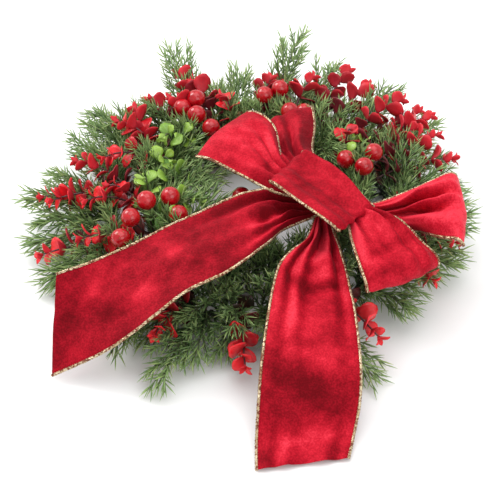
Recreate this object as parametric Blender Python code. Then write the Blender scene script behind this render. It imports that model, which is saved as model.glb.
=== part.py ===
"""An artificial Christmas wreath lying on its back, with a large velvet bow tied to its near side.

Places are in millimetres from the middle of the wire frame, with the surface that it lies on at Z = 0,
+X to the right and -Y towards the bow's tails. The last step moves everything so that the origin is
under the middle of the whole wreath, and Blender's own unit stays the metre.
"""

import math
import random

import bpy
from mathutils import Matrix, Vector

MM = 0.001
SEED = 24

# Frame: two wire rings joined by cross wires, flat underneath where they lie on the surface
WIRE_DIAMETER = 2.6
INNER_RING_RADIUS = 76.0
OUTER_RING_RADIUS = 104.0
RING_STEPS = 24
WIRE_SIDES = 6
CROSS_WIRE_RADIUS = 0.9
CROSS_WIRE_ANGLES = (20, 80, 140, 200, 260, 320)

# Ribbon: wired velvet, sold 63.5 mm (2.5 in) wide
RIBBON_WIDTH = 63.5
RIBBON_THICKNESS = 0.8
GOLD_EDGE_DIAMETER = 2.2
EDGE_GAP = 0.35
BOW_KNOT = (46.0, -60.0)
KNOT_CLEARANCE = 4.5
WAIST_HALF_WIDTH = 4.5
TIE_WIRE_DIAMETER = 1.4
TIE_HOOK_RADIUS = 2.35
TIE_HOOK_STEPS = 7
TIE_HOOK_START = -60
TIE_HOOK_SWEEP = 155
TIE_BEND_HEIGHT = 14.0

# Room that the foliage leaves: between its pieces, over the surface, and round the wreath's hole
CLEARANCE = 0.4
SEAT_GAP = 0.3
FLOOR_CLEARANCE = 1.2
HOLE_RADIUS = 47.0
HOLE_HEIGHT = 46.0

# Needle sprays: pairs of radii are at a stem's root and at its tip
STEM_STEPS = 6
SPRAY_STEM_RADII = (1.3, 0.9)
TWIG_RADII = (0.58, 0.5)
TWIG_SHARES = (0.32, 0.46, 0.6, 0.74, 0.88)
TWIG_REACH = 40.0
TWIG_LEAN = (32, 52)
WHORL_SPACING = 13.0
WHORL_TWIST = 40.0
LAST_WHORL = 3.0
SHOOT_BASE = 1.2
NEEDLE_RADIUS = 0.6
NEEDLE_LENGTH = 12.5
NEEDLE_LEAN = (28, 46)

# Leafy stems: a leaf's cross sections are shares of its length, along it and half across it
LEAF_STEM_RADII = (1.05, 0.75)
LEAF_THICKNESS = 0.7
LEAF_OUTLINE = ((0.4, 0.42), (0.78, 0.36), (1, 0.1))
LEAF_WIDTH_SHARE = 0.86
LEAF_LEAN = 0.5
RED_LEAF_LENGTH = 15.0
RED_LEAF_SPACING = 13.0
RED_BARE_SHARE = 0.42
GREEN_LEAF_LENGTH = 13.0
GREEN_LEAF_SPACING = 10.0
GREEN_BARE_SHARE = 0.5

# Berries
BERRY_DIAMETER = 13.5
BERRY_COLUMNS = 8
BERRY_ROWS = 4
BERRY_STEM_RADIUS = 0.9
STALK_RADIUS = 0.65
STALK_BEND_HEIGHT = 12.0
STALK_FORK_HEIGHT = 26.0

# Each loop and tail: cross lines of the ribbon from its waist outwards, each as left edge and right edge.
# A loop's lines run out along its upper layer, round its fold, and back along its lower layer.
LOOPS = {
    "left": (
        ((12, -48, 69.8), (22, -19, 69.8)),
        ((-13, -33, 74), (15, 17, 75)),
        ((-31, -22, 76), (4, 31, 77)),
        ((-41, -14, 70), (-6, 40, 70.5)),
        ((-31, -22, 64), (4, 30, 64)),
        ((-12, -34, 65), (14, 15, 64.6)),
        ((13, -47, 67.6), (22, -20, 67.6)),
    ),
    "back": (
        ((18, -26, 64.2), (47, -19, 65)),
        ((3, 0, 60), (41, 8, 64)),
        ((-6, 18, 56), (44, 38, 62)),
        ((-9, 32, 52), (43, 60, 62)),
        ((-10, 38, 47), (41, 68, 56)),
        ((-9, 32, 43), (42, 60, 50)),
        ((-5, 17, 46), (43, 37, 51)),
        ((4, -1, 53), (41, 6, 55)),
        ((20, -26, 61.4), (47, -20, 61.6)),
    ),
    "right": (
        ((80, -60, 66), (78, -72, 58)),
        ((106, -55, 75), (104, -75, 56)),
        ((121, -51, 81), (120, -95, 68)),
        ((131, -48, 83), (130, -107, 76)),
        ((136, -46, 77), (135, -110, 70)),
        ((131, -48, 71), (130, -106, 64)),
        ((119, -52, 68), (119, -93, 57)),
        ((103, -57, 64), (102, -74, 50)),
        ((78, -61, 60), (76, -71, 54)),
    ),
    "front": (
        ((82, -70, 69.8), (60, -85, 69.8)),
        ((97, -76, 68), (63, -103, 68)),
        ((112, -91, 59), (67, -121, 64)),
        ((120, -100, 54), (71, -133, 58)),
        ((121, -103, 49), (71, -136, 52.5)),
        ((118, -98, 45), (69, -129, 47.5)),
        ((110, -88, 53), (65, -115, 52)),
        ((95, -75, 64), (62, -99, 60)),
        ((80, -70, 67.6), (59, -84, 67.6)),
    ),
}
LOOP_HEIGHTS = {"left": (69.8, 67.8), "back": (65.2, 63.2), "right": (63.0, 61.0), "front": (69.8, 67.8)}
LOOP_CROWN = 4.0
TAILS = {
    "left": (
        ((24, -72, 60), (22, -54, 62)),
        ((10, -91, 65), (10, -53, 67)),
        ((-4, -112, 67), (-12, -59, 68)),
        ((-21, -130, 65), (-34, -67, 65)),
        ((-42, -142, 61), (-60, -80, 61)),
        ((-64, -154, 50), (-84, -96, 58)),
        ((-92, -162, 29), (-107, -107, 54)),
        ((-131, -161, 4), (-129, -114, 50)),
    ),
    "right": (
        ((54, -84, 54), (35, -85, 57)),
        ((57, -98, 51), (26, -98, 59)),
        ((60, -111, 46), (17, -112, 58)),
        ((63, -131, 41), (12, -130, 53)),
        ((65, -152, 37), (8, -153, 45)),
        ((66, -178, 31), (4, -183, 34)),
        ((65, -198, 20), (2, -207, 22)),
        ((61, -214, 7), (1, -222, 9)),
        ((57, -230, 1.9), (1, -239, 1.9)),
    ),
}
TAIL_HEIGHTS = {"left": 60.5, "right": 58.3}
TAIL_CROWN = 1.5
# The band over the knot is a short closed loop of the same ribbon, near edge and far edge
BAND = (
    ((12, -62, 83), (40, -8, 76)),
    ((33, -84, 86), (61, -36, 78)),
    ((54, -106, 83), (81, -65, 76)),
    ((58, -110, 77.5), (85, -69, 74)),
    ((54, -106, 72.4), (81, -65, 72.2)),
    ((33, -84, 72), (61, -36, 72)),
    ((12, -62, 72.4), (40, -8, 72.2)),
    ((8, -58, 77.5), (36, -4, 74)),
)
LOOP_STEPS = 18
TAIL_STEPS = 12
BAND_STEPS = 16

# Stems: where each is tied to the frame, in degrees round the ring, and where its tip reaches
OUTER_SPRAYS = (
    ("left_upper", 176, (-175, -8, 30)),
    ("left_lower", 193, (-170, -44, 16)),
    ("left_back", 156, (-144, 56, 28)),
    ("back_left_low", 139, (-136, 110, 32)),
    ("back_left_tall", 117, (-69, 172, 54)),
    ("back_middle", 98, (-10, 158, 40)),
    ("back_tall", 81, (40, 184, 60)),
    ("back_right", 66, (68, 166, 42)),
    ("right_back_low", 48, (116, 140, 28)),
    ("right_back", 33, (152, 100, 28)),
    ("right_middle", 5, (148, 6, 42)),
    ("right_front", -15, (163, -30, 34)),
    ("right_low", -31, (153, -70, 20)),
    ("front_right", -49, (114, -124, 22)),
    ("front_low", -72, (84, -178, 8)),
    ("front_left", -109, (-66, -188, 10)),
    ("front_left_inner", -122, (-94, -142, 14)),
    ("left_front", -151, (-156, -84, 12)),
)
INNER_SPRAYS = (
    ("inner_left", 168, (-82, 32, 56)),
    ("inner_hole", -170, (-46, -20, 34)),
    ("inner_back", 40, (72, 66, 52)),
    ("inner_front", -104, (-22, -116, 44)),
)
RED_STEMS = (
    ("left_tall", 184, (-133, 20, 50)),
    ("left_low", -157, (-154, -64, 24)),
    ("left_front", -143, (-124, -66, 44)),
    ("left_back", 147, (-105, 60, 58)),
    ("back_left", 108, (-50, 126, 50)),
    ("back_middle", 89, (14, 122, 56)),
    ("back_right", 73, (48, 126, 54)),
    ("right_back", 56, (94, 130, 42)),
    ("right_middle", 24, (126, 62, 50)),
    ("right_tall", 14, (152, 30, 42)),
    ("front_right", -40, (125, -100, 32)),
    ("front_low", -65, (84, -152, 26)),
    ("front_left", -116, (-67, -150, 26)),
    ("front_middle", -98, (-6, -172, 18)),
)
GREEN_SPRIGS = (
    ("left", -168, (-77, -14, 62)),
    ("back_left", 134, (-52, 46, 56)),
    ("right", 20, (66, 20, 58)),
)
BERRY_BUNCHES = (
    ("left", -154, ((-74, -45, 57), (-58, -38, 55), (-52, -52, 50), (-84, -60, 54), (-90, -75, 48))),
    ("back_left", 124, ((-43, 66, 52), (-32, 56, 47))),
    ("back", 70, ((27, 73, 50), (38, 78, 46))),
    ("right", 6, ((86, 15, 54), (78, -2, 54))),
)


def mm(point):
    """A place in millimetres as a vector in metres."""
    return Vector(point) * MM


def finish(name, colour, roughness, metallic=0.0):
    """A plain material in the colour that the piece has."""
    material = bpy.data.materials.new(name)
    material.use_nodes = True
    shader = material.node_tree.nodes["Principled BSDF"]
    shader.inputs["Base Color"].default_value = (*colour, 1)
    shader.inputs["Roughness"].default_value = roughness
    shader.inputs["Metallic"].default_value = metallic
    return material


def mesh_object(name, vertices, faces, material=None):
    """A mesh object from vertices in millimetres."""
    mesh = bpy.data.meshes.new(name)
    mesh.from_pydata([mm(v) for v in vertices], [], faces)
    piece = bpy.data.objects.new(name, mesh)
    bpy.context.scene.collection.objects.link(piece)
    if material:
        mesh.materials.append(material)
    return piece


def smooth_points(points, steps, closed=False):
    """Points evenly spaced along a smooth curve that passes through all the given points."""
    known = [Vector(p) for p in points]
    spans = len(known) if closed else len(known) - 1
    dense = []
    for step in range(spans * 12 + 1):
        span = min(step // 12, spans - 1)
        t = step / 12 - span
        if closed:
            a, b, c, d = (known[(span + k) % len(known)] for k in (-1, 0, 1, 2))
        else:
            b, c = known[span], known[span + 1]
            a = known[span - 1] if span else b * 2 - c
            d = known[span + 2] if span + 2 < len(known) else c * 2 - b
        dense.append(
            0.5 * (2 * b + (c - a) * t + (2 * a - 5 * b + 4 * c - d) * t**2 + (3 * b - a - 3 * c + d) * t**3)
        )
    lengths = [0.0]
    for before, after in zip(dense, dense[1:]):
        lengths.append(lengths[-1] + (after - before).length)
    count = steps if closed else steps - 1
    made = []
    at = 0
    for step in range(steps):
        wanted = lengths[-1] * step / count
        while at < len(dense) - 2 and lengths[at + 1] < wanted:
            at += 1
        share = (wanted - lengths[at]) / max(lengths[at + 1] - lengths[at], 1e-9)
        made.append(dense[at].lerp(dense[at + 1], min(share, 1)))
    return made


def waist_line(towards, height):
    """The gathered end of a loop or tail beside the knot, as its left and right ends."""
    along = (Vector(towards) - Vector(BOW_KNOT)).normalized()
    across = Vector((-along.y, along.x)) * WAIST_HALF_WIDTH
    middle = Vector(BOW_KNOT) + along * KNOT_CLEARANCE
    return middle - across, middle + across, height


def with_waist(lines, first_height, last_height=None):
    """The cross lines with the gathered waist at the start and, for a loop, at the end too."""
    middle = (Vector(lines[0][0]) + Vector(lines[0][1])) / 2
    one, other, _ = waist_line((middle.x, middle.y), 0)
    if (Vector(lines[0][0]).xy - one).length > (Vector(lines[0][0]).xy - other).length:
        one, other = other, one
    whole = [((*one, first_height), (*other, first_height)), *lines]
    if last_height is not None:
        whole.append(((*one, last_height), (*other, last_height)))
    return whole


def ribbon_edges(lines, steps, closed=False):
    """The two edges of a ribbon as rows of points that pair up."""
    left = smooth_points([line[0] for line in lines], steps, closed)
    right = smooth_points([line[1] for line in lines], steps, closed)
    return left, right


def cloth(name, left, right, material, crown=0.0, closed=False):
    """The velvet between a ribbon's two gold edges, with its middle line raised by up to the crown."""
    inset = GOLD_EDGE_DIAMETER / 2 + RIBBON_THICKNESS / 2 + EDGE_GAP
    rows = len(left)
    vertices = []
    for row in range(rows):
        one, other = left[row], right[row]
        before = (row - 1) % rows if closed else max(row - 1, 0)
        after = (row + 1) % rows if closed else min(row + 1, rows - 1)
        along = ((left[after] + right[after]) - (left[before] + right[before])).normalized()
        across = (other - one).normalized()
        raised = along.cross(across).normalized() * crown * min(1, (other - one).length / RIBBON_WIDTH)
        if not closed and row in (0, rows - 1):
            step = along * (inset + 0.4) * (1 if row == 0 else -1)
            one, other = one + step, other + step
        line = []
        for edge, sign in ((left, 1), (right, -1)):
            tangent = (edge[after] - edge[before]).normalized()
            slant = max(tangent.cross(across).length, 0.45)
            line.append((one if sign == 1 else other) + across * (sign * inset / slant))
        vertices += [line[0], (one + other) / 2 - raised, line[1]]
    faces = []
    for row in range(rows if closed else rows - 1):
        after = (row + 1) % rows
        for k in (0, 1):
            quad = (row * 3 + k, row * 3 + k + 1, after * 3 + k + 1, after * 3 + k)
            faces += [(quad[0], quad[1], quad[2]), (quad[0], quad[2], quad[3])]
    piece = mesh_object(name, vertices, faces, material)
    thick = piece.modifiers.new("thickness", "SOLIDIFY")
    thick.thickness = RIBBON_THICKNESS * MM
    thick.offset = 0
    piece.data.shade_smooth()
    return piece


def wire_curve(name, route, diameter, material, closed=False):
    """A wire along a route, as a bevelled curve."""
    curve = bpy.data.curves.new(name, "CURVE")
    curve.dimensions = "3D"
    curve.bevel_depth = diameter / 2 * MM
    curve.bevel_resolution = 0
    curve.use_fill_caps = not closed
    spline = curve.splines.new("POLY")
    spline.points.add(len(route) - 1)
    for point, place in zip(spline.points, route):
        point.co = (*mm(place), 1)
    spline.use_cyclic_u = closed
    curve.materials.append(material)
    piece = bpy.data.objects.new(name, curve)
    bpy.context.scene.collection.objects.link(piece)


def tube(points, radius, sides):
    """Vertices and faces of a closed tube along points."""
    vertices, faces, rings = [], [], []
    side = (points[1] - points[0]).orthogonal().normalized()
    for k, point in enumerate(points):
        before, after = points[max(k - 1, 0)], points[min(k + 1, len(points) - 1)]
        along = (after - before).normalized()
        side = (side - along * side.dot(along)).normalized()
        up = along.cross(side)
        turns = [math.tau * n / sides for n in range(sides)]
        rings.append(list(range(len(vertices), len(vertices) + sides)))
        vertices += [point + (side * math.cos(a) + up * math.sin(a)) * radius for a in turns]
    for low, high in zip(rings, rings[1:]):
        for n in range(sides):
            m = (n + 1) % sides
            faces.append((low[n], low[m], high[m], high[n]))
    faces += [tuple(reversed(rings[0])), tuple(rings[-1])]
    return vertices, faces


def length_of(points):
    return sum((after - before).length for before, after in zip(points, points[1:]))


def walk(points, distance):
    """The place at a distance along a line of points."""
    for before, after in zip(points, points[1:]):
        step = (after - before).length
        if distance <= step:
            return before.lerp(after, distance / step)
        distance -= step
    return points[-1].copy()


def heading_at(points, distance):
    """The direction of a line of points at a distance along it."""
    return (walk(points, distance + 2) - walk(points, distance - 2)).normalized()


def grown(line, radii, sides, whorls, shoot, phase=0.0, twist=0.0):
    """Vertices and faces of a closed stem, with a shoot drawn out of its faces at each whorl and at its end.

    shoot(whorl, face, middle, out, across, along) gives the shoot's cross sections, or None for no shoot.
    """
    length = length_of(line)
    knots = [length_of(line[: k + 1]) for k in range(len(line))]
    starts = {}
    for whorl, distance in enumerate(whorls):
        nearest = min(knots, key=lambda knot: abs(knot - distance))
        if abs(nearest - distance) < 1.5 * SHOOT_BASE:
            distance = nearest - 1.5 * SHOOT_BASE
        starts[distance - SHOOT_BASE / 2] = whorl
    stations = sorted([*knots, *starts, *[start + SHOOT_BASE for start in starts]])
    vertices, faces, rings = [], [], []
    side = heading_at(line, 0).orthogonal().normalized()
    for distance in stations:
        along = heading_at(line, distance)
        side = (side - along * side.dot(along)).normalized()
        up = along.cross(side)
        radius = radii[0] + (radii[1] - radii[0]) * distance / length
        place = walk(line, distance)
        if distance in starts:
            phase += math.radians(twist)
        rings.append(list(range(len(vertices), len(vertices) + sides)))
        for n in range(sides):
            turn = phase + math.tau * n / sides
            vertices.append(place + (side * math.cos(turn) + up * math.sin(turn)) * radius)
    faces.append(tuple(reversed(rings[0])))

    def face_or_shoot(corners, sections):
        for section in sections or ():
            first = len(vertices)
            vertices.extend(section)
            count = len(corners)
            if len(section) == 1:
                faces.extend((corners[k], corners[(k + 1) % count], first) for k in range(count))
                return
            ring = list(range(first, first + count))
            for k in range(count):
                m = (k + 1) % count
                faces.append((corners[k], corners[m], ring[m], ring[k]))
            corners = ring
        faces.append(tuple(corners))

    for low, high, distance in zip(rings, rings[1:], stations):
        for n in range(sides):
            m = (n + 1) % sides
            corners = [low[n], low[m], high[m], high[n]]
            sections = None
            if distance in starts:
                a, b, c, d = (vertices[k] for k in corners)
                middle = (a + b + c + d) / 4
                across = (b - a + c - d).normalized()
                along = (d - a + c - b).normalized()
                sections = shoot(starts[distance], n, middle, across.cross(along), across, along)
            face_or_shoot(corners, sections)
    end = [vertices[k] for k in rings[-1]]
    across = (end[1] - end[0]).normalized()
    out = heading_at(line, length)
    sections = shoot(None, 0, line[-1].copy(), out, across, out.cross(across))
    face_or_shoot(rings[-1], sections)
    return vertices, faces


def berry_ball(centre, radius):
    """A round berry as vertices and faces."""
    vertices = [centre + Vector((0, 0, radius))]
    for row in range(1, BERRY_ROWS):
        down = math.pi * row / BERRY_ROWS
        for column in range(BERRY_COLUMNS):
            turn = math.tau * column / BERRY_COLUMNS
            out = Vector((math.sin(down) * math.cos(turn), math.sin(down) * math.sin(turn), math.cos(down)))
            vertices.append(centre + out * radius)
    vertices.append(centre - Vector((0, 0, radius)))
    faces = []
    last = len(vertices) - 1
    lowest = 1 + (BERRY_ROWS - 2) * BERRY_COLUMNS
    for column in range(BERRY_COLUMNS):
        beside = (column + 1) % BERRY_COLUMNS
        faces.append((0, 1 + column, 1 + beside))
        for top in range(1, lowest, BERRY_COLUMNS):
            low = top + BERRY_COLUMNS
            faces.append((top + column, low + column, low + beside, top + beside))
        faces.append((last, lowest + beside, lowest + column))
    return vertices, faces


def fused(name, shapes, material, smooth=False):
    """One closed body from shapes that sink into each other, by one Boolean union."""
    base = mesh_object(name, *shapes[0], material)
    others = bpy.data.collections.new(name + "_shapes")
    bpy.context.scene.collection.children.link(others)
    for vertices, faces in shapes[1:]:
        shape = mesh_object(name + "_shape", vertices, faces)
        bpy.context.scene.collection.objects.unlink(shape)
        others.objects.link(shape)
    join = base.modifiers.new("join", "BOOLEAN")
    join.operation = "UNION"
    join.operand_type = "COLLECTION"
    join.collection = others
    whole = base.evaluated_get(bpy.context.evaluated_depsgraph_get())
    joined = bpy.data.meshes.new_from_object(whole)
    base.modifiers.clear()
    base.data = joined
    joined.name = name
    joined.materials.clear()
    joined.materials.append(material)
    if smooth:
        joined.shade_smooth()
    for shape in list(others.objects):
        bpy.data.objects.remove(shape)
    bpy.data.collections.remove(others)


class Room:
    """The space taken so far, as balls kept in a grid, so that a new shape can be tested for room."""

    CELL = 6.0

    def __init__(self):
        self.cells = {}

    def cells_of(self, ball, margin=0.0):
        x, y, z, radius = ball
        reach = radius + margin
        spans = [
            range(math.floor((v - reach) / self.CELL), math.floor((v + reach) / self.CELL) + 1)
            for v in (x, y, z)
        ]
        return [(i, j, k) for i in spans[0] for j in spans[1] for k in spans[2]]

    def take(self, owner, balls):
        for ball in balls:
            for cell in self.cells_of(ball):
                self.cells.setdefault(cell, []).append((owner, ball))

    def blocked_by(self, owner, balls):
        """The name of what stands in the way, or None."""
        for ball in balls:
            x, y, z, radius = ball
            if z - radius < FLOOR_CLEARANCE:
                return "floor"
            if z < HOLE_HEIGHT and math.hypot(x, y) < HOLE_RADIUS + radius:
                return "hole"
            for cell in self.cells_of(ball, CLEARANCE):
                for other, (a, b, c, r) in self.cells.get(cell, ()):
                    near = radius + r + CLEARANCE
                    if other != owner and (x - a) ** 2 + (y - b) ** 2 + (z - c) ** 2 < near**2:
                        return other
        return None


def balls_along(points, radius, step):
    """Balls that cover a line of points."""
    balls = []
    for before, after in zip(points, points[1:]):
        count = max(1, math.ceil((after - before).length / step))
        balls += [(*before.lerp(after, n / count), radius) for n in range(count)]
    return [*balls, (*points[-1], radius)]


def ribbon_balls(left, right):
    """Balls that cover a ribbon from edge to edge."""
    balls = []
    for (a, b), (c, d) in zip(zip(left, right), zip(left[1:], right[1:])):
        along = max(1, math.ceil(max((c - a).length, (d - b).length) / 2.4))
        across = max(1, math.ceil((b - a).length / 2.4))
        for n in range(along + 1):
            one, other = a.lerp(c, n / along), b.lerp(d, n / along)
            balls += [(*one.lerp(other, m / across), 1.8) for m in range(across + 1)]
    return balls


def blade_balls(base, along, normal, length, width):
    """Balls that cover a leaf."""
    across = normal.cross(along).normalized()
    balls = []
    for step in range(7):
        x = step / 6
        half = width * (0.1 + 0.72 * math.sqrt(x) * (1.35 - x) if x < 1 else 0.1)
        count = max(1, round(half / 1.6))
        for n in range(-count, count + 1):
            balls.append((*(base + along * (x * length) + across * (half * n / count)), 1.0))
    return balls


def stem_route(root, tip, steps):
    """A stem's line: straight up from the frame, then over towards its tip."""
    root, tip = Vector(root), Vector(tip)
    rise = Vector((0, 0, max(10.0, tip.z * 0.55)))
    reach = tip - root
    before_tip = tip - Vector((reach.x, reach.y, 0)) * 0.45 + Vector((0, 0, max(4.0, 10 - tip.z * 0.25)))
    points = []
    for n in range(steps + 1):
        t = n / steps
        near = root * (1 - t) ** 3 + (root + rise) * 3 * t * (1 - t) ** 2
        points.append(near + before_tip * 3 * t**2 * (1 - t) + tip * t**3)
    return points


def ring_point(radius, degrees):
    """The place on a ring where a stem is tied, just clear of the top of its wire."""
    turn = math.radians(degrees)
    top = WIRE_DIAMETER * math.cos(math.pi / WIRE_SIDES)
    return Vector((radius * math.cos(turn), radius * math.sin(turn), top + SEAT_GAP))


def turned(direction, axis, degrees):
    return Matrix.Rotation(math.radians(degrees), 3, axis) @ direction


def needle_shoots(name, own, room, draw):
    """Gives each face of a whorl a needle, where there is room for it beside all the others."""

    def shoot(whorl, face, middle, out, across, along):
        lean = math.radians(draw.uniform(*NEEDLE_LEAN))
        heading = out * math.sin(lean) + along * math.cos(lean) if whorl is not None else out
        heading = turned(heading, along, draw.uniform(-8, 8)).normalized()
        tip = middle + heading * NEEDLE_LENGTH * draw.uniform(0.85, 1.15)
        outer_part = balls_along([middle.lerp(tip, 0.36), tip], 0.4, 1.1)
        if room.blocked_by(name, balls_along([middle.lerp(tip, 0.12), tip], NEEDLE_RADIUS, 1.1)):
            return None
        if own.blocked_by(name, outer_part):
            return None
        own.take("needle", outer_part)
        room.take(name, balls_along([middle, tip], NEEDLE_RADIUS, 1.1))
        return [[tip]]

    return shoot


def whorls_of(length, bare):
    """Where a stem's whorls of needles are, from near its tip back to the bare part at its root."""
    places = []
    while length - LAST_WHORL - WHORL_SPACING * len(places) > bare:
        places.append(length - LAST_WHORL - WHORL_SPACING * len(places))
    return places[::-1]


def spray(name, route, room):
    """A needle spray: its core stem, and side twigs that fork off left and right, all set with needles."""
    draw = random.Random(f"{SEED} {name}")
    length = length_of(route)
    own = Room()
    own.take("stem", balls_along(route, SPRAY_STEM_RADII[0] / 2, 1.1))
    twigs = []
    for n, share in enumerate(TWIG_SHARES):
        place, along = walk(route, share * length), heading_at(route, share * length)
        upright = (Vector((0, 0, 1)) - along * along.z).normalized()
        reach = (1.08 - share) * TWIG_REACH
        for attempt in range(8):
            lean = (-1) ** n * (draw.uniform(*TWIG_LEAN) - attempt * 3)
            heading = turned(turned(along, upright, lean), along, draw.uniform(-40, 40)).normalized()
            line = [place, place + heading * reach * (1 - 0.07 * attempt)]
            free_part = [line[0].lerp(line[1], 0.1), line[1]]
            if not room.blocked_by(name, balls_along(free_part, TWIG_RADII[0], 1.4)):
                room.take(name, balls_along(line, TWIG_RADII[0], 1.4))
                own.take("twig", balls_along(line, TWIG_RADII[0], 1.1))
                twigs.append(line)
                break
    shoots = needle_shoots(name, own, room, draw)
    shapes = [grown(route, SPRAY_STEM_RADII, 4, whorls_of(length, length / 2), shoots)]
    for line in twigs:
        whorls = whorls_of(length_of(line), LAST_WHORL + SHOOT_BASE * 2)
        shapes.append(grown(line, TWIG_RADII, 3, whorls, shoots, draw.uniform(0, 2), WHORL_TWIST))
    return shapes


def leaf_shoots(name, room, draw, leaf_length):
    """Gives every second face of a whorl a leaf, the other two at the next whorl, where there is room."""

    def shoot(whorl, face, middle, out, across, along):
        if whorl is not None and (face + whorl) % 2:
            return None
        heading = (along * LEAF_LEAN + out).normalized() if whorl is not None else out
        heading = turned(heading, along, draw.uniform(-14, 14))
        across = (across - heading * across.dot(heading)).normalized()
        normal = heading.cross(across) * (-1 if heading.cross(across).dot(along) < 0 else 1)
        size = leaf_length * draw.uniform(0.86, 1.1)
        width = size * LEAF_WIDTH_SHARE
        if room.blocked_by(name, blade_balls(middle + heading * 2, heading, normal, size - 2, width)):
            return None
        room.take(name, blade_balls(middle, heading, normal, size, width))
        sections = []
        for share, wide in LEAF_OUTLINE:
            centre = middle + heading * size * share
            edge = across * size * wide
            rise = normal * LEAF_THICKNESS / 2
            sections.append(
                [centre - edge - rise, centre + edge - rise, centre + edge + rise, centre - edge + rise]
            )
        return sections

    return shoot


def leafy_stem(name, route, room, leaf_length, bare_share, spacing):
    """A stem with leaves in opposite pairs, each turned a quarter from the last, and one leaf at its tip."""
    draw = random.Random(f"{SEED} {name}")
    length = length_of(route)
    pairs = [length - spacing * (k + 0.6) for k in range(int(length * (1 - bare_share) / spacing))]
    return grown(route, LEAF_STEM_RADII, 4, sorted(pairs), leaf_shoots(name, room, draw, leaf_length))


def berry_bunch(name, root, places, room):
    """Round berries, each on a wire stalk, that share one stem."""
    middle = sum((Vector(p) for p in places), Vector()) / len(places)
    fork = root.lerp(middle, 0.5)
    fork.z = STALK_FORK_HEIGHT
    bend = Vector((root.x, root.y, STALK_BEND_HEIGHT))
    shapes = [tube([root, bend, fork], BERRY_STEM_RADIUS, 4)]
    room.take(name, balls_along([root, bend, fork], BERRY_STEM_RADIUS, 1.4))
    for place in places:
        centre = Vector(place)
        elbow = fork.lerp(centre, 0.5) + Vector((0, 0, -4))
        shapes.append(tube([fork - Vector((0, 0, STALK_RADIUS)), elbow, centre], STALK_RADIUS, 3))
        shapes.append(berry_ball(centre, BERRY_DIAMETER / 2))
        room.take(name, balls_along([fork, elbow, centre], STALK_RADIUS, 1.2))
        room.take(name, [(*centre, BERRY_DIAMETER / 2)])
    return shapes


def wire_frame(material, room):
    """Two wire rings and the short wires between them, flat underneath where they lie on the surface."""
    shapes = []
    radius = WIRE_DIAMETER / 2
    height = radius * math.cos(math.pi / WIRE_SIDES)
    for ring in (INNER_RING_RADIUS, OUTER_RING_RADIUS):
        vertices, faces = [], []
        for step in range(RING_STEPS):
            turn = math.tau * step / RING_STEPS
            out = Vector((math.cos(turn), math.sin(turn), 0))
            for n in range(WIRE_SIDES):
                a = math.tau * n / WIRE_SIDES
                rise = Vector((0, 0, height + radius * math.sin(a)))
                vertices.append(out * (ring + radius * math.cos(a)) + rise)
        for step in range(RING_STEPS):
            after = (step + 1) % RING_STEPS
            for n in range(WIRE_SIDES):
                m = (n + 1) % WIRE_SIDES
                low, high = step * WIRE_SIDES, after * WIRE_SIDES
                faces.append((low + n, high + n, high + m, low + m))
        shapes.append((vertices, faces))
        for degrees in range(0, 360):
            turn = math.radians(degrees)
            room.take("wire_frame", [(ring * math.cos(turn), ring * math.sin(turn), height, radius)])
    for degrees in CROSS_WIRE_ANGLES:
        turn = math.radians(degrees)
        out = Vector((math.cos(turn), math.sin(turn), 0))
        ends = [out * r + Vector((0, 0, height)) for r in (INNER_RING_RADIUS, OUTER_RING_RADIUS)]
        shapes.append(tube(ends, CROSS_WIRE_RADIUS, 4))
        room.take("wire_frame", balls_along(ends, radius, 2))
    fused("wire_frame", shapes, material, smooth=True)


def tie_wire(material, room):
    """The wire that holds the bow: a stem down from the knot that hooks over the inner ring."""
    turn = math.atan2(BOW_KNOT[1], BOW_KNOT[0])
    out = Vector((math.cos(turn), math.sin(turn), 0))
    wire_height = WIRE_DIAMETER / 2 * math.cos(math.pi / WIRE_SIDES)
    middle = out * INNER_RING_RADIUS * math.cos(math.pi / RING_STEPS) + Vector((0, 0, wire_height))
    band_underside = BAND[5][0][2] - RIBBON_THICKNESS / 2
    route = [Vector((*BOW_KNOT, band_underside - SEAT_GAP)), Vector((*BOW_KNOT, TIE_BEND_HEIGHT))]
    for step in range(TIE_HOOK_STEPS):
        a = math.radians(TIE_HOOK_START + TIE_HOOK_SWEEP * step / (TIE_HOOK_STEPS - 1))
        route.append(middle + (out * math.sin(a) + Vector((0, 0, math.cos(a)))) * TIE_HOOK_RADIUS)
    wire_curve("bow_tie_wire", route, TIE_WIRE_DIAMETER, material)
    room.take("bow", balls_along(route, TIE_WIRE_DIAMETER / 2, 1))


def bow(velvet, gold, room):
    """The bow's loops, tails and band, each as its velvet and its gold wired edges."""
    for side, lines in LOOPS.items():
        high, low = LOOP_HEIGHTS[side]
        left, right = ribbon_edges(with_waist(lines, high, low), LOOP_STEPS)
        cloth(f"bow_loop_{side}", left, right, velvet, LOOP_CROWN)
        wire_curve(f"gold_edge_loop_{side}", [*left, *reversed(right)], GOLD_EDGE_DIAMETER, gold)
        room.take("bow", ribbon_balls(left, right))
    for side, lines in TAILS.items():
        left, right = ribbon_edges(with_waist(lines, TAIL_HEIGHTS[side]), TAIL_STEPS)
        cloth(f"bow_tail_{side}", left, right, velvet, TAIL_CROWN)
        wire_curve(f"gold_edge_tail_{side}", [*reversed(left), *right], GOLD_EDGE_DIAMETER, gold)
        room.take("bow", ribbon_balls(left, right))
    near, far = ribbon_edges(BAND, BAND_STEPS, closed=True)
    cloth("bow_band", near, far, velvet, closed=True)
    wire_curve("gold_edge_band_near", near, GOLD_EDGE_DIAMETER, gold, closed=True)
    wire_curve("gold_edge_band_far", far, GOLD_EDGE_DIAMETER, gold, closed=True)
    room.take("bow", ribbon_balls([*near, near[0]], [*far, far[0]]))


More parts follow.
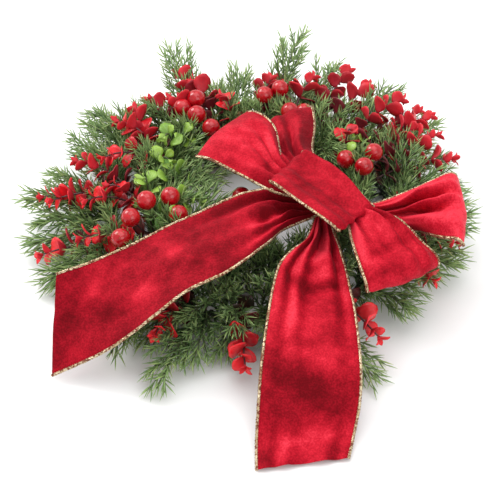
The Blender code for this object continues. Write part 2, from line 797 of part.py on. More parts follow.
def free_route(name, root, tip, tip_shoot, room):
    """A stem's route to where its tip shoot starts, and a note in the log where something is in its way."""
    reach = Vector(tip) - root
    route = stem_route(root, root + reach * (1 - 0.9 * tip_shoot / reach.length), STEM_STEPS)
    blocked = room.blocked_by(name, balls_along(route[1:], SPRAY_STEM_RADII[0], 1.4))
    if blocked:
        print("the stem of", name, "meets", blocked)
    room.take(name, balls_along(route[1:], SPRAY_STEM_RADII[0], 1.4))
    return route


def foliage(room, needle_green, leaf_red, leaf_green, berry_red):
    """The berries and all the stems first, then the leaves, and the needles last, each in the room left."""
    for side, degrees, places in BERRY_BUNCHES:
        name = f"berries_{side}"
        shapes = berry_bunch(name, ring_point(INNER_RING_RADIUS, degrees), places, room)
        fused(name, shapes, berry_red, smooth=True)
    sprays, red_stems, green_sprigs = {}, {}, {}
    for made, kind, radius, tip_shoot, stems in (
        (sprays, "needle_spray", OUTER_RING_RADIUS, NEEDLE_LENGTH, OUTER_SPRAYS),
        (sprays, "needle_spray", INNER_RING_RADIUS, NEEDLE_LENGTH, INNER_SPRAYS),
        (red_stems, "red_leaf_stem", INNER_RING_RADIUS, RED_LEAF_LENGTH, RED_STEMS),
        (green_sprigs, "green_leaf_sprig", INNER_RING_RADIUS, GREEN_LEAF_LENGTH, GREEN_SPRIGS),
    ):
        for side, degrees, tip in stems:
            name = f"{kind}_{side}"
            made[name] = free_route(name, ring_point(radius, degrees), tip, tip_shoot, room)
    for name, route in red_stems.items():
        shape = leafy_stem(name, route, room, RED_LEAF_LENGTH, RED_BARE_SHARE, RED_LEAF_SPACING)
        mesh_object(name, *shape, leaf_red)
    for name, route in green_sprigs.items():
        shape = leafy_stem(name, route, room, GREEN_LEAF_LENGTH, GREEN_BARE_SHARE, GREEN_LEAF_SPACING)
        mesh_object(name, *shape, leaf_green)
    for name, route in sprays.items():
        fused(name, spray(name, route, room), needle_green)


def centre_all():
    """Moves the whole wreath so that the origin is under its middle, on the surface that it lies on."""
    bpy.context.view_layer.update()
    pieces = [o for o in bpy.context.scene.objects if o.type in ("MESH", "CURVE")]
    graph = bpy.context.evaluated_depsgraph_get()
    corners = []
    for piece in pieces:
        shape = piece.evaluated_get(graph).to_mesh()
        corners += [v.co.copy() for v in shape.vertices]
    low = Vector([min(c[k] for c in corners) for k in range(3)])
    high = Vector([max(c[k] for c in corners) for k in range(3)])
    shift = Vector((-(low.x + high.x) / 2, -(low.y + high.y) / 2, -low.z))
    for piece in pieces:
        piece.location = shift
    print("The ring's middle is at", [round(v / MM, 2) for v in shift], "mm")


def main():
    for old in list(bpy.data.objects):
        bpy.data.objects.remove(old)
    room = Room()
    velvet = finish("red_velvet", (0.55, 0.01, 0.03), 0.75)
    gold = finish("gold_thread", (0.72, 0.6, 0.36), 0.35, 0.9)
    wire = finish("dark_wire", (0.02, 0.02, 0.02), 0.5)
    needle_green = finish("needle_green", (0.1, 0.2, 0.07), 0.6)
    leaf_red = finish("leaf_red", (0.5, 0.02, 0.03), 0.4)
    leaf_green = finish("leaf_green", (0.25, 0.5, 0.08), 0.45)
    berry_red = finish("berry_red", (0.5, 0.005, 0.01), 0.15)
    wire_frame(wire, room)
    bow(velvet, gold, room)
    tie_wire(wire, room)
    foliage(room, needle_green, leaf_red, leaf_green, berry_red)
    centre_all()


main()
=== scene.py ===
# %% [markdown]
# # A Christmas wreath with a velvet bow
#
# The real wreath is moulded evergreen sprays, red eucalyptus stems, light green sprigs and berries, all
# twisted onto a ring of black wire. A big bow of wired velvet ribbon is tied to its near side.
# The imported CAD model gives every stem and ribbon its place. This lesson dresses it: each simple solid gets a
# finer piece that keeps its form, with a material made of nodes. Lengths are millimetres from the ring's
# middle where a hand would measure them, and Blender's own unit stays the metre.

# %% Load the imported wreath
import math
import random

import bpy
import numpy as np
from mathutils import Matrix, Vector, noise
from mathutils.bvhtree import BVHTree


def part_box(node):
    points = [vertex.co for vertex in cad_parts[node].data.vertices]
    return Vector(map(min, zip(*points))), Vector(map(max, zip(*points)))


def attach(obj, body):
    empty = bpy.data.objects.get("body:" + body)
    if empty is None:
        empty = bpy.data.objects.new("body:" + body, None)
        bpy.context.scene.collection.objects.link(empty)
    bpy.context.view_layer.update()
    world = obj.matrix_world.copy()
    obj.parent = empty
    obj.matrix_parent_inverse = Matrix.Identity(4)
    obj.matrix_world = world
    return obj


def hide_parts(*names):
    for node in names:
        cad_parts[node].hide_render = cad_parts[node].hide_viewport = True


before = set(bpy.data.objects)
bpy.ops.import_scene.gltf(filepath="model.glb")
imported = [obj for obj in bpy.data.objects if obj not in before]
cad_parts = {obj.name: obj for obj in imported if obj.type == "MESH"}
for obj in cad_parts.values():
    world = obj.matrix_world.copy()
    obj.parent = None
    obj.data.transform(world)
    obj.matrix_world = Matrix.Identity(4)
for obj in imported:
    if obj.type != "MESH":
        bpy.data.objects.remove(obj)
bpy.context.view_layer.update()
ring_low, ring_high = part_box("wire_frame")
RING_MIDDLE = np.array([(ring_low.x + ring_high.x) / 2, (ring_low.y + ring_high.y) / 2, 0])
MM = 0.001
SEED = 24
print("nodes in the frame:", len(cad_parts))
print("the ring's middle, in metres:", RING_MIDDLE.round(5))

# %% [markdown]
# ## Camera
#
# The photograph looks down at the wreath from about 40 degrees above the surface and a metre away. A long
# lens keeps the perspective gentle. The camera comes first, so that every piece can be judged from it.

# %% Place the camera
CAMERA_PLACE = (-3, -796, 642.8)
CAMERA_TARGET = (-3, -30, 0)
LENS = 100
SENSOR_WIDTH = 36


def at(points):
    """Places in millimetres from the ring's middle, in metres in the frame."""
    return np.array(points, float) * MM + RING_MIDDLE


camera_place = Vector(at(CAMERA_PLACE))
looking = Vector(at(CAMERA_TARGET)) - camera_place
bpy.ops.object.camera_add(location=camera_place, rotation=looking.to_track_quat("-Z", "Y").to_euler())
camera = bpy.context.object
camera.name = "camera"
camera.data.lens = LENS
camera.data.sensor_width = SENSOR_WIDTH
bpy.context.scene.camera = camera
print("camera looks from", camera_place.to_tuple(3))

# %% [markdown]
# ## Floor and light
#
# A studio lights such a product on a white table with large soft boxes, so that shadows are faint and velvet
# still shows its sheen. Three area lights do that: a wide one above, a key from the back left that grazes
# the cloth, and a weak one from the front. The world adds an even pale light.

# %% Floor and soft boxes
FLOOR_SIZE = 12
WORLD_STRENGTH = 0.85
# Each light's place and the side of its square in metres, and its power in watts.
SOFT_BOXES = {
    "light_above": ((0.1, 0.1, 1.7), 1.6, 16),
    "light_key": ((-1.1, 0.7, 1.2), 0.8, 17),
    "light_front": ((0.8, -1.4, 1.1), 1.2, 9),
}
bpy.ops.mesh.primitive_plane_add(size=FLOOR_SIZE)
floor = bpy.context.object
floor.name = "floor"
for name, (place, size, power) in SOFT_BOXES.items():
    aim = -Vector(place)
    bpy.ops.object.light_add(type="AREA", location=place, rotation=aim.to_track_quat("-Z", "Y").to_euler())
    light = bpy.context.object
    light.name = name
    light.data.size = size
    light.data.energy = power
world = bpy.data.worlds.new("studio")
world.use_nodes = True
sky = world.node_tree.nodes["Background"].inputs
sky["Color"].default_value = (1, 1, 1, 1)
sky["Strength"].default_value = WORLD_STRENGTH
bpy.context.scene.world = world
bpy.context.scene.view_settings.view_transform = "Standard"
print("lights:", ", ".join(SOFT_BOXES))

# %% [markdown]
# ## Nodes in code
#
# A material is a graph of nodes. Small helpers make the graphs short to write: one adds a node with its
# settings and inputs, one places a shared group, and others do a sum, stretch a range or mix two colours.
# Effects that several finishes share are groups, and each finish places them with its own values.

# %% Helpers for nodes


def feed(tree, node, inputs):
    """Gives each named input of a node its value, or a link where the value is a socket."""
    for name, value in inputs.items():
        if isinstance(value, bpy.types.NodeSocket):
            tree.links.new(value, node.inputs[name])
        else:
            node.inputs[name].default_value = value


def add(tree, kind, inputs=None, **settings):
    """Adds a node to a tree, with its settings and its inputs."""
    node = tree.nodes.new("ShaderNode" + kind)
    for name, value in settings.items():
        setattr(node, name, value)
    feed(tree, node, inputs or {})
    return node


def place_group(tree, group, inputs):
    """Places a node group with its own values, and gives its outputs."""
    node = tree.nodes.new("ShaderNodeGroup")
    node.node_tree = group
    feed(tree, node, inputs)
    return node.outputs


def start_group(name, inputs, outputs):
    """A node group with named sockets, and its input and output nodes."""
    tree = bpy.data.node_groups.new(name, "ShaderNodeTree")
    for socket, (kind, value) in inputs.items():
        made = tree.interface.new_socket(socket, in_out="INPUT", socket_type="NodeSocket" + kind)
        made.default_value = value
    for socket, kind in outputs.items():
        tree.interface.new_socket(socket, in_out="OUTPUT", socket_type="NodeSocket" + kind)
    return tree, tree.nodes.new("NodeGroupInput").outputs, tree.nodes.new("NodeGroupOutput").inputs


def start_finish(name, **shader_values):
    """A material with its shader set, and its tree and shader to build on."""
    material = bpy.data.materials.new(name)
    material.use_nodes = True
    shader = material.node_tree.nodes["Principled BSDF"]
    for socket, value in shader_values.items():
        shader.inputs[socket.replace("_", " ")].default_value = value
    return material, material.node_tree, shader


print("node helpers ready")

# %% Helpers for values and colours


def calculate(tree, operation, *values):
    """The result of one sum on values and sockets."""
    return add(tree, "Math", dict(enumerate(values)), operation=operation).outputs[0]


def span(tree, value, to_low, to_high, from_low=0.0, from_high=1.0):
    """A value that is stretched from one range to another."""
    ends = {"From Min": from_low, "From Max": from_high, "To Min": to_low, "To Max": to_high}
    return add(tree, "MapRange", {"Value": value, **ends}).outputs["Result"]


def ramp(tree, value, stops):
    """A colour ramp with the given stops, as positions and colours."""
    node = add(tree, "ValToRGB", {"Fac": value})
    elements = node.color_ramp.elements
    for element, (position, colour) in zip(elements, (stops[0], stops[-1])):
        element.position = position
        element.color = (*colour, 1)
    for position, colour in stops[1:-1]:
        elements.new(position).color = (*colour, 1)
    return node.outputs["Color"]


def mixed(tree, share, one, other):
    """Two colours mixed by a share."""
    return add(tree, "Mix", {0: share, 6: one, 7: other}, data_type="RGBA").outputs[2]


def roughen(tree, shader, value, low, high):
    """Lets the roughness follow a value, from low to high."""
    tree.links.new(span(tree, value, low, high), shader.inputs["Roughness"])


def emboss(tree, shader, height, strength, depth):
    """Lets light see a height as relief, with its depth in millimetres."""
    bump = add(tree, "Bump", {"Height": height, "Strength": strength, "Distance": depth * MM})
    tree.links.new(bump.outputs["Normal"], shader.inputs["Normal"])


print("value and colour helpers ready")

# %% [markdown]
# ## Shared effect: patches
#
# No real surface has one even shade. Crushed velvet, leaves, berries and paint all have soft patches of two
# shades. One group makes them from noise between two levels, with their size given in millimetres. It reads
# Object coordinates, so patches have their real size on every piece.

# %% Shared effect: patches of two shades
patches, given, result = start_group(
    "patches",
    {
        "Size mm": ("Float", 10.0),
        "Detail": ("Float", 2.0),
        "Low": ("Float", 0.35),
        "High": ("Float", 0.65),
    },
    {"Mask": "Float"},
)
where = add(patches, "TexCoord").outputs["Object"]
scale = calculate(patches, "DIVIDE", 1000.0, given["Size mm"])
cloud = add(patches, "TexNoise", {"Vector": where, "Scale": scale, "Detail": given["Detail"]})
spread = add(
    patches,
    "MapRange",
    {"Value": cloud.outputs["Fac"], "From Min": given["Low"], "From Max": given["High"]},
    interpolation_type="SMOOTHSTEP",
)
patches.links.new(spread.outputs["Result"], result["Mask"])


def patchy(tree, size, detail, low, high):
    """A mask of patches in a material, from their size, their detail and the two noise levels."""
    return place_group(tree, patches, {"Size mm": size, "Detail": detail, "Low": low, "High": high})["Mask"]


print("group made:", patches.name)

# %% [markdown]
# ## Shared effect: thread
#
# Velvet has a woven backing, and light breaks up on it into fine rows. A group draws rows across and along a
# ribbon from its UV map, where U runs from edge to edge and V along the ribbon.

# %% Shared effect: thread
thread, given, result = start_group(
    "thread",
    {"Rows across": ("Float", 60.0), "Rows along": ("Float", 240.0)},
    {"Height": "Float"},
)
plan = add(thread, "SeparateXYZ", {0: add(thread, "UVMap").outputs["UV"]}).outputs
waves = []
for axis, rows in (("X", "Rows across"), ("Y", "Rows along")):
    turns = calculate(thread, "MULTIPLY", plan[axis], given[rows])
    waves.append(calculate(thread, "SINE", calculate(thread, "MULTIPLY", turns, math.tau)))
crossed = calculate(thread, "MULTIPLY", *waves)
thread.links.new(calculate(thread, "MULTIPLY_ADD", crossed, 0.5, 0.5), result["Height"])
print("group made:", thread.name)

# %% [markdown]
# ## Red velvet
#
# Velvet is a dense layer of short hairs. Where the hairs lean towards the light it looks bright and a little
# pink, and where they lean away it looks nearly black red. Each ribbon will carry an attribute called
# pile_and_painted_light in which this light and shade are painted: lighter where the cloth turns towards a
# fixed light from the back left, a painted light level for each part, painted highlights and painted shade
# along folds and creases, and patches of crushed hairs. The colour reads it, and adds the soft patches of
# crushed velvet and its fine grain.

# %% Material: red velvet
# The ramp runs from nearly black red in painted shade, through the velvet's own crimson, to a pinkish red in
# painted highlight.
VELVET_STOPS = [
    (0.0, (0.12, 0.0, 0.003)),
    (0.25, (0.21, 0.0, 0.006)),
    (0.5, (0.35, 0.002, 0.012)),
    (0.75, (0.52, 0.008, 0.024)),
    (1.0, (0.70, 0.03, 0.055)),
]
# The size, detail and noise levels of each mask, and how far it moves the tone. The last is the fine grain.
VELVET_MASKS = ((22.0, 2.0, 0.36, 0.62, 0.2), (5.0, 3.0, 0.25, 0.75, 0.14), (1.2, 3.0, 0.3, 0.7, 0.24))
BACKING_SHARE = 0.35
velvet, tree, shader = start_finish(
    "red_velvet",
    Roughness=0.75,
    Sheen_Weight=0.14,
    Sheen_Roughness=0.4,
    Sheen_Tint=(1.0, 0.14, 0.2, 1),
    Specular_IOR_Level=0.1,
)
# The tone starts from each ribbon's painted light and shade, and the patches of crushed velvet move it.
tone = add(tree, "Attribute", attribute_name="pile_and_painted_light").outputs["Fac"]
for *look, share in VELVET_MASKS:
    grain = patchy(tree, *look)
    tone = calculate(tree, "ADD", tone, calculate(tree, "MULTIPLY_ADD", grain, share, -share / 2))
tree.links.new(ramp(tree, tone, VELVET_STOPS), shader.inputs["Base Color"])
roughen(tree, shader, tone, 0.85, 0.5)
backing = place_group(tree, thread, {"Rows across": 60.0, "Rows along": 220.0})["Height"]
relief = add(tree, "Mix", {0: BACKING_SHARE, 2: grain, 3: backing}).outputs[0]
emboss(tree, shader, relief, 0.5, 0.4)
print("finish made:", velvet.name)

# %% [markdown]
# ## Gold edging
#
# The edge of wired ribbon is a thin wire covered with metallic thread, champagne gold with darker red brown
# threads between. The twist itself is modelled, so the finish only adds the fine specks of each thread.

# %% Material: gold edging
GOLD_BRIGHT = (0.66, 0.56, 0.38, 1)
GOLD_DULL = (0.46, 0.33, 0.17, 1)
THREAD_DARK = (0.20, 0.055, 0.03, 1)
gold, tree, shader = start_finish("gold_thread", Metallic=0.85, Roughness=0.34)
speck = patchy(tree, 1.5, 3.0, 0.46, 0.6)
warm = mixed(tree, patchy(tree, 7.0, 2.0, 0.3, 0.8), GOLD_BRIGHT, GOLD_DULL)
tree.links.new(mixed(tree, speck, warm, THREAD_DARK), shader.inputs["Base Color"])
roughen(tree, shader, speck, 0.28, 0.55)
emboss(tree, shader, speck, 0.6, 0.2)
print("finish made:", gold.name)

# %% [markdown]
# ## Shared effect: leaf veins
#
# Fabric leaves are pressed with a midrib and side veins that slant towards the tip. One group draws them from
# a leaf's UV map, and also gives the place from base to tip, by which a leaf is darker at its base.

# %% Shared effect: leaf veins
VEIN_SLANT = -0.9
veins, given, result = start_group(
    "leaf_veins", {"Side veins": ("Float", 7.0)}, {"Vein": "Float", "Run": "Float"}
)
plan = add(veins, "SeparateXYZ", {0: add(veins, "UVMap").outputs["UV"]}).outputs
off_middle = calculate(veins, "ABSOLUTE", calculate(veins, "SUBTRACT", plan["X"], 0.5))
midrib = span(veins, off_middle, 1, 0, 0.0, 0.05)
slope = calculate(veins, "MULTIPLY_ADD", off_middle, VEIN_SLANT, plan["Y"])
turns = calculate(veins, "MULTIPLY", slope, given["Side veins"])
wave = calculate(veins, "COSINE", calculate(veins, "MULTIPLY", turns, math.tau))
side_vein = span(veins, wave, 0, 0.45, 0.86, 1.0)
veins.links.new(calculate(veins, "MAXIMUM", midrib, side_vein), result["Vein"])
veins.links.new(plan["Y"], result["Run"])
print("group made:", veins.name)

# %% [markdown]
# ## Shared effect: growth
#
# Leaves and needles change colour along their stem and along themselves. Each copy will carry a point
# attribute called growth: X is its place on the stem from root to tip, Y is a number of its own, and Z is
# the place along the needle, or 1 on a leaf's underside. The leaf and needle finishes read it through a
# group that shifts each copy's age a little by its own number.

# %% Shared effect: growth
AGE_SHIFT = 0.5
growth, given, result = start_group(
    "growth", {"Shift": ("Float", 0.3)}, {"Age": "Float", "Own": "Float", "Along": "Float"}
)
mark = add(growth, "Attribute", attribute_name="growth").outputs["Vector"]
parts = add(growth, "SeparateXYZ", {0: mark}).outputs
centred = calculate(growth, "SUBTRACT", parts["Y"], 0.5)
growth.links.new(calculate(growth, "MULTIPLY_ADD", centred, given["Shift"], parts["X"]), result["Age"])
growth.links.new(parts["Y"], result["Own"])
growth.links.new(parts["Z"], result["Along"])
print("group made:", growth.name)

# %% [markdown]
# ## Needle finish
#
# Moulded needles are dark near the foot of a spray and yellow green near its tip, and each needle is paler
# towards its point. One ramp gives the body's colour by age, another the point's, and the place along the
# needle mixes the two.

# %% Material: needles
NEEDLE_BODY = [(0.0, (0.04, 0.08, 0.025)), (0.5, (0.12, 0.21, 0.065)), (1.0, (0.25, 0.37, 0.12))]
NEEDLE_POINT = [(0.0, (0.19, 0.31, 0.13)), (0.6, (0.34, 0.48, 0.19)), (1.0, (0.52, 0.59, 0.25))]
needle_green, tree, shader = start_finish("needle_green", Roughness=0.5, Specular_IOR_Level=0.3)
marks = place_group(tree, growth, {"Shift": AGE_SHIFT})
body = ramp(tree, marks["Age"], NEEDLE_BODY)
point = ramp(tree, marks["Own"], NEEDLE_POINT)
near_point = span(tree, marks["Along"], 0.0, 1.0, 0.25, 1.1)
tree.links.new(mixed(tree, near_point, body, point), shader.inputs["Base Color"])
dull = patchy(tree, 3.0, 2.0, 0.3, 0.7)
roughen(tree, shader, dull, 0.38, 0.62)
emboss(tree, shader, dull, 0.3, 0.2)
print("finish made:", needle_green.name)

# %% [markdown]
# ## Leaf finishes
#
# The red leaves are dyed from nearly black green at the stem's foot, through burgundy, to bright red at its
# tip. The light green ones do the same in greens. Both are one finish with other colours: a ramp by age, with
# paler veins, a darker base, a duller underside and a thin glaze on the upper side.

# %% Materials: red and light green leaves


def leaf_finish(name, stops, underside, side_veins, vein_shade, root_shade, roughness):
    """A leaf's finish by its age on the stem, with veins, a darker base and a duller underside."""
    material, tree, shader = start_finish(
        name, Roughness=roughness, Coat_Roughness=0.25, Specular_IOR_Level=0.25
    )
    marks = place_group(tree, growth, {"Shift": AGE_SHIFT})
    cloud = patchy(tree, 4.0, 3.0, 0.3, 0.75)
    lines = place_group(tree, veins, {"Side veins": side_veins})
    colour = ramp(tree, calculate(tree, "MULTIPLY_ADD", cloud, 0.12, marks["Age"]), stops)
    colour = mixed(tree, calculate(tree, "MULTIPLY", lines["Vein"], 0.22), colour, (*vein_shade, 1))
    colour = mixed(tree, span(tree, lines["Run"], 0.62, 0.0, 0.0, 0.7), colour, (*root_shade, 1))
    below = calculate(tree, "MULTIPLY", marks["Along"], 0.4)
    tree.links.new(mixed(tree, below, colour, (*underside, 1)), shader.inputs["Base Color"])
    roughen(tree, shader, cloud, roughness - 0.1, roughness + 0.12)
    tree.links.new(span(tree, marks["Along"], 0.35, 0.0), shader.inputs["Coat Weight"])
    height = calculate(tree, "MULTIPLY_ADD", lines["Vein"], -0.6, cloud)
    emboss(tree, shader, height, 0.35, 0.3)
    print("finish made:", name)
    return material


RED_STOPS = [
    (0.0, (0.010, 0.030, 0.016)),
    (0.36, (0.030, 0.022, 0.015)),
    (0.54, (0.13, 0.007, 0.012)),
    (0.76, (0.44, 0.005, 0.012)),
    (1.0, (0.80, 0.012, 0.020)),
]
GREEN_STOPS = [(0.0, (0.03, 0.10, 0.02)), (0.5, (0.10, 0.23, 0.03)), (1.0, (0.26, 0.42, 0.055))]
leaf_red = leaf_finish(
    "leaf_red",
    RED_STOPS,
    underside=(0.34, 0.04, 0.06),
    side_veins=6.0,
    vein_shade=(0.5, 0.07, 0.08),
    root_shade=(0.14, 0.006, 0.01),
    roughness=0.42,
)
leaf_green = leaf_finish(
    "leaf_green",
    GREEN_STOPS,
    underside=(0.40, 0.56, 0.16),
    side_veins=5.0,
    vein_shade=(0.46, 0.62, 0.18),
    root_shade=(0.05, 0.14, 0.025),
    roughness=0.4,
)

# %% [markdown]
# ## Plain finishes
#
# Berries, stems, wire and the table have no pattern of their own, but nothing real is one flat colour. Each
# gets two shades in patches, and the same patches give a little relief and uneven roughness. The berries also
# have a clear coat, because they are lacquered.

# %% Materials: berries, stems, wire and table


def plain_finish(name, one, other, size, rough, relief, **shader_values):
    """A finish of two mottled shades, with its roughness and a low relief from the same patches."""
    material, tree, shader = start_finish(name, **shader_values)
    cloud = patchy(tree, size, 4.0, 0.3, 0.72)
    tree.links.new(mixed(tree, cloud, (*one, 1), (*other, 1)), shader.inputs["Base Color"])
    roughen(tree, shader, cloud, *rough)
    emboss(tree, shader, cloud, 0.5, relief)
    print("finish made:", name)
    return material


berry_red = plain_finish(
    "berry_red",
    (0.33, 0.0, 0.004),
    (0.5, 0.003, 0.01),
    size=3.2,
    rough=(0.2, 0.34),
    relief=0.1,
    Coat_Weight=0.5,
    Coat_Roughness=0.08,
    Specular_IOR_Level=0.3,
)
stem_green = plain_finish(
    "stem_green", (0.035, 0.05, 0.022), (0.09, 0.10, 0.045), size=3.0, rough=(0.5, 0.7), relief=0.15
)
stem_brown = plain_finish(
    "stem_brown", (0.035, 0.014, 0.016), (0.13, 0.06, 0.06), size=2.6, rough=(0.5, 0.75), relief=0.2
)
wire_black = plain_finish(
    "wire_black", (0.012, 0.012, 0.012), (0.035, 0.033, 0.03), size=5.0, rough=(0.3, 0.6), relief=0.08
)
floor_white = plain_finish(
    "floor_white", (0.86, 0.86, 0.86), (0.9, 0.9, 0.9), size=90.0, rough=(0.6, 0.7), relief=0.02
)
floor.data.materials.append(floor_white)

# %% [markdown]
# ## Working on pieces
#
# Operators act on all that is selected, so every piece starts with nothing selected. A piece is kept by
# letting it ride on the wreath's one body, and by naming the CAD nodes that it stands for, which are then
# hidden.

# %% Helpers for pieces


def alone(*pieces):
    """Selects only these pieces, the last one active."""
    bpy.ops.object.select_all(action="DESELECT")
    for piece in pieces:
        piece.select_set(True)
        bpy.context.view_layer.objects.active = piece


def keep(piece, slot, *nodes):
    """The piece rides on the wreath and stands for those CAD nodes, which are hidden. The slot is not used."""
    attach(piece, "root")
    if nodes:
        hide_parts(*nodes)


def triangles(piece):
    """How many triangles a mesh has."""
    return sum(len(face.vertices) - 2 for face in piece.data.polygons)


print("piece helpers ready")

# %% [markdown]
# ## Lines and directions
#
# Ribbon edges, wires and stems all follow smooth lines through a few known places. A Catmull-Rom curve passes
# through every one of its points, so the places can be read straight off the object.

# %% Helpers for lines
STEPS_BETWEEN_POINTS = 24


def evenly(line, count):
    """The line again, as that many evenly spaced points."""
    steps = np.linalg.norm(np.diff(line, axis=0), axis=1)
    run = np.concatenate([[0], np.cumsum(steps)])
    wanted = np.linspace(0, run[-1], count)
    return np.stack([np.interp(wanted, run, line[:, k]) for k in range(3)], axis=1)


def smooth_line(known, count, closed=False):
    """Evenly spaced points on a smooth curve through the given points."""
    known = np.array(known, float)
    if closed:
        padded = np.concatenate([known[-1:], known, known[:2]])
    else:
        padded = np.concatenate([2 * known[:1] - known[1:2], known, 2 * known[-1:] - known[-2:-1]])
    t = np.linspace(0, 1, STEPS_BETWEEN_POINTS, endpoint=False)[:, None]
    dense = [
        0.5 * (2 * b + (c - a) * t + (2 * a - 5 * b + 4 * c - d) * t**2 + (3 * b - a - 3 * c + d) * t**3)
        for a, b, c, d in zip(padded, padded[1:], padded[2:], padded[3:])
    ]
    return evenly(np.concatenate([*dense, padded[-2:-1]]), count)


def length_of(line):
    """How long a line of points is."""
    return float(np.linalg.norm(np.diff(line, axis=0), axis=1).sum())


def unit(direction):
    """A direction with length one."""
    return direction / np.linalg.norm(direction)


def unit_rows(rows):
    """Many directions, each with length one."""
    return rows / np.linalg.norm(rows, axis=1)[:, None]


def turned(direction, axis, angle):
    """A direction turned about an axis."""
    return np.array(Matrix.Rotation(angle, 3, Vector(axis)) @ Vector(direction))


def frames_along(line):
    """Two directions square to a line at each of its points, that turn as little as they can."""
    forward = unit_rows(np.gradient(line, axis=0))
    side = np.array(Vector(forward[0]).orthogonal().normalized())
    sides = []
    for direction in forward:
        side = side - direction * (side @ direction)
        side /= np.linalg.norm(side)
        sides.append(side)
    sides = np.array(sides)
    return sides, np.cross(forward, sides)


print("line helpers ready")

# %% [markdown]
# ## The ribbon's shape
#
# Every part of the bow is one strip of ribbon 63.5 mm wide. A strip is given by a few cross lines, each from
# its left edge to its right edge, and smooth curves run through their ends. A fine grid is laid between the
# two curves. Where the curves come closer together than the ribbon is wide, the spare cloth stands up in
# pleats. Single folds are then pressed in, and a soft unevenness makes it crushed velvet. Light and shade are
# painted into the velvet's colour: lighter where the cloth turns towards a fixed light from the back left and
# darker where it turns away, with a painted light level for each part, and given marks paint highlights,
# shade and patches of crushed hairs. Folds and these marks are given as shares of the ribbon's width and
# length, with a width and a height each.

# %% Helpers for the ribbon
RIBBON_WIDTH = 63.5
CLOTH_THICKNESS = 0.5
ACROSS = 28
ROW_STEP = 2.5
PLEATS_ACROSS = 3.2
# The direction towards a fixed light from the back left. The velvet's colour is painted lighter where the cloth
# turns towards it and darker where it turns away.
PAINTED_LIGHT_DIRECTION = np.array((-0.72, 0.55, 0.42))
BOW_KNOT = np.array((46.0, -60.0))
KNOT_CLEARANCE = 4.5
WAIST_HALF_WIDTH = 4.5
DENT_SIZE = 21


def smoothstep(value, low, high):
    """0 below the low end, 1 above the high end, and a soft step between."""
    share = np.clip((value - low) / (high - low), 0, 1)
    return share * share * (3 - 2 * share)


def with_waist(lines, first_height, last_height=None):
    """The cross lines with the gathered waist beside the knot at the start, and at the end of a loop."""
    middle = (np.array(lines[0][0]) + np.array(lines[0][1]))[:2] / 2
    along = (middle - BOW_KNOT) / np.linalg.norm(middle - BOW_KNOT)
    across = np.array((-along[1], along[0])) * WAIST_HALF_WIDTH
    centre = BOW_KNOT + along * KNOT_CLEARANCE
    one, other = centre - across, centre + across
    start = np.array(lines[0][0])[:2]
    if np.linalg.norm(start - one) > np.linalg.norm(start - other):
        one, other = other, one
    whole = [((*one, first_height), (*other, first_height)), *lines]
    if last_height is not None:
        whole.append(((*one, last_height), (*other, last_height)))
    return whole


def fold_height(u, v, length, folds):
    """How far folds lift each point. A fold has two (across, along) ends, a width and a height."""
    lift = np.zeros(len(u))
    for (u0, v0), (u1, v1), width, height in folds:
        start = np.array((u0 * RIBBON_WIDTH, v0 * length))
        run = np.array((u1 * RIBBON_WIDTH, v1 * length)) - start
        spot = np.stack([u * RIBBON_WIDTH, v * length], axis=1) - start
        share = np.clip(spot @ run / (run @ run), 0, 1)
        away = np.linalg.norm(spot - share[:, None] * run, axis=1)
        lift += height * np.exp(-((away / width) ** 2)) * (0.35 + 0.65 * np.sin(math.pi * share))
    return lift


def pleat_lift(u, v, width, seed, pleats, looped):
    """How far gathered cloth stands up in pleats. A loop's lower layer has its pleats the other way up."""
    slack = np.sqrt(np.clip(1 - (width / RIBBON_WIDTH) ** 2, 0, 1))
    pleat = np.cos(math.tau * (PLEATS_ACROSS * u + 0.22 * np.sin(math.tau * 1.3 * u + seed)) + seed)
    pleat *= 1 + 0.3 * np.sin(math.tau * 0.8 * u + 2 * seed)
    if looped:
        pleat *= 1 - 2 * smoothstep(v, 0.45, 0.55)
    return pleats * slack ** (1.0 if looped else 1.6) * pleat * smoothstep(width, 3, 26)


def unevenness(points, seed):
    """Soft dents and swellings of crushed velvet, for each point."""
    spots = [Vector(p) / DENT_SIZE + Vector((seed * 7.3, 0, 0)) for p in points]
    broad = np.array([noise.noise(s) for s in spots])
    small = np.array([noise.noise(s * 2.7) for s in spots])
    return 1.6 * broad + 0.7 * small


print("ribbon helpers ready")

# %% Make a strip of ribbon


def normals_of(places, row, column):
    """The direction square to the cloth at each point of its grid."""
    grid = np.zeros((row.max() + 1, column.max() + 1, 3))
    grid[row, column] = places
    square = np.cross(np.gradient(grid, axis=1), np.gradient(grid, axis=0))
    square /= np.linalg.norm(square, axis=2)[:, :, None] + 1e-9
    return square[row, column]


def directions_of(middle, closed):
    """The way the middle of a strip runs at each row. A closed strip runs on from its end to its start."""
    if not closed:
        return np.gradient(middle, axis=0)
    forward = np.roll(middle[:-1], -1, axis=0) - np.roll(middle[:-1], 1, axis=0)
    return np.concatenate([forward, forward[:1]])


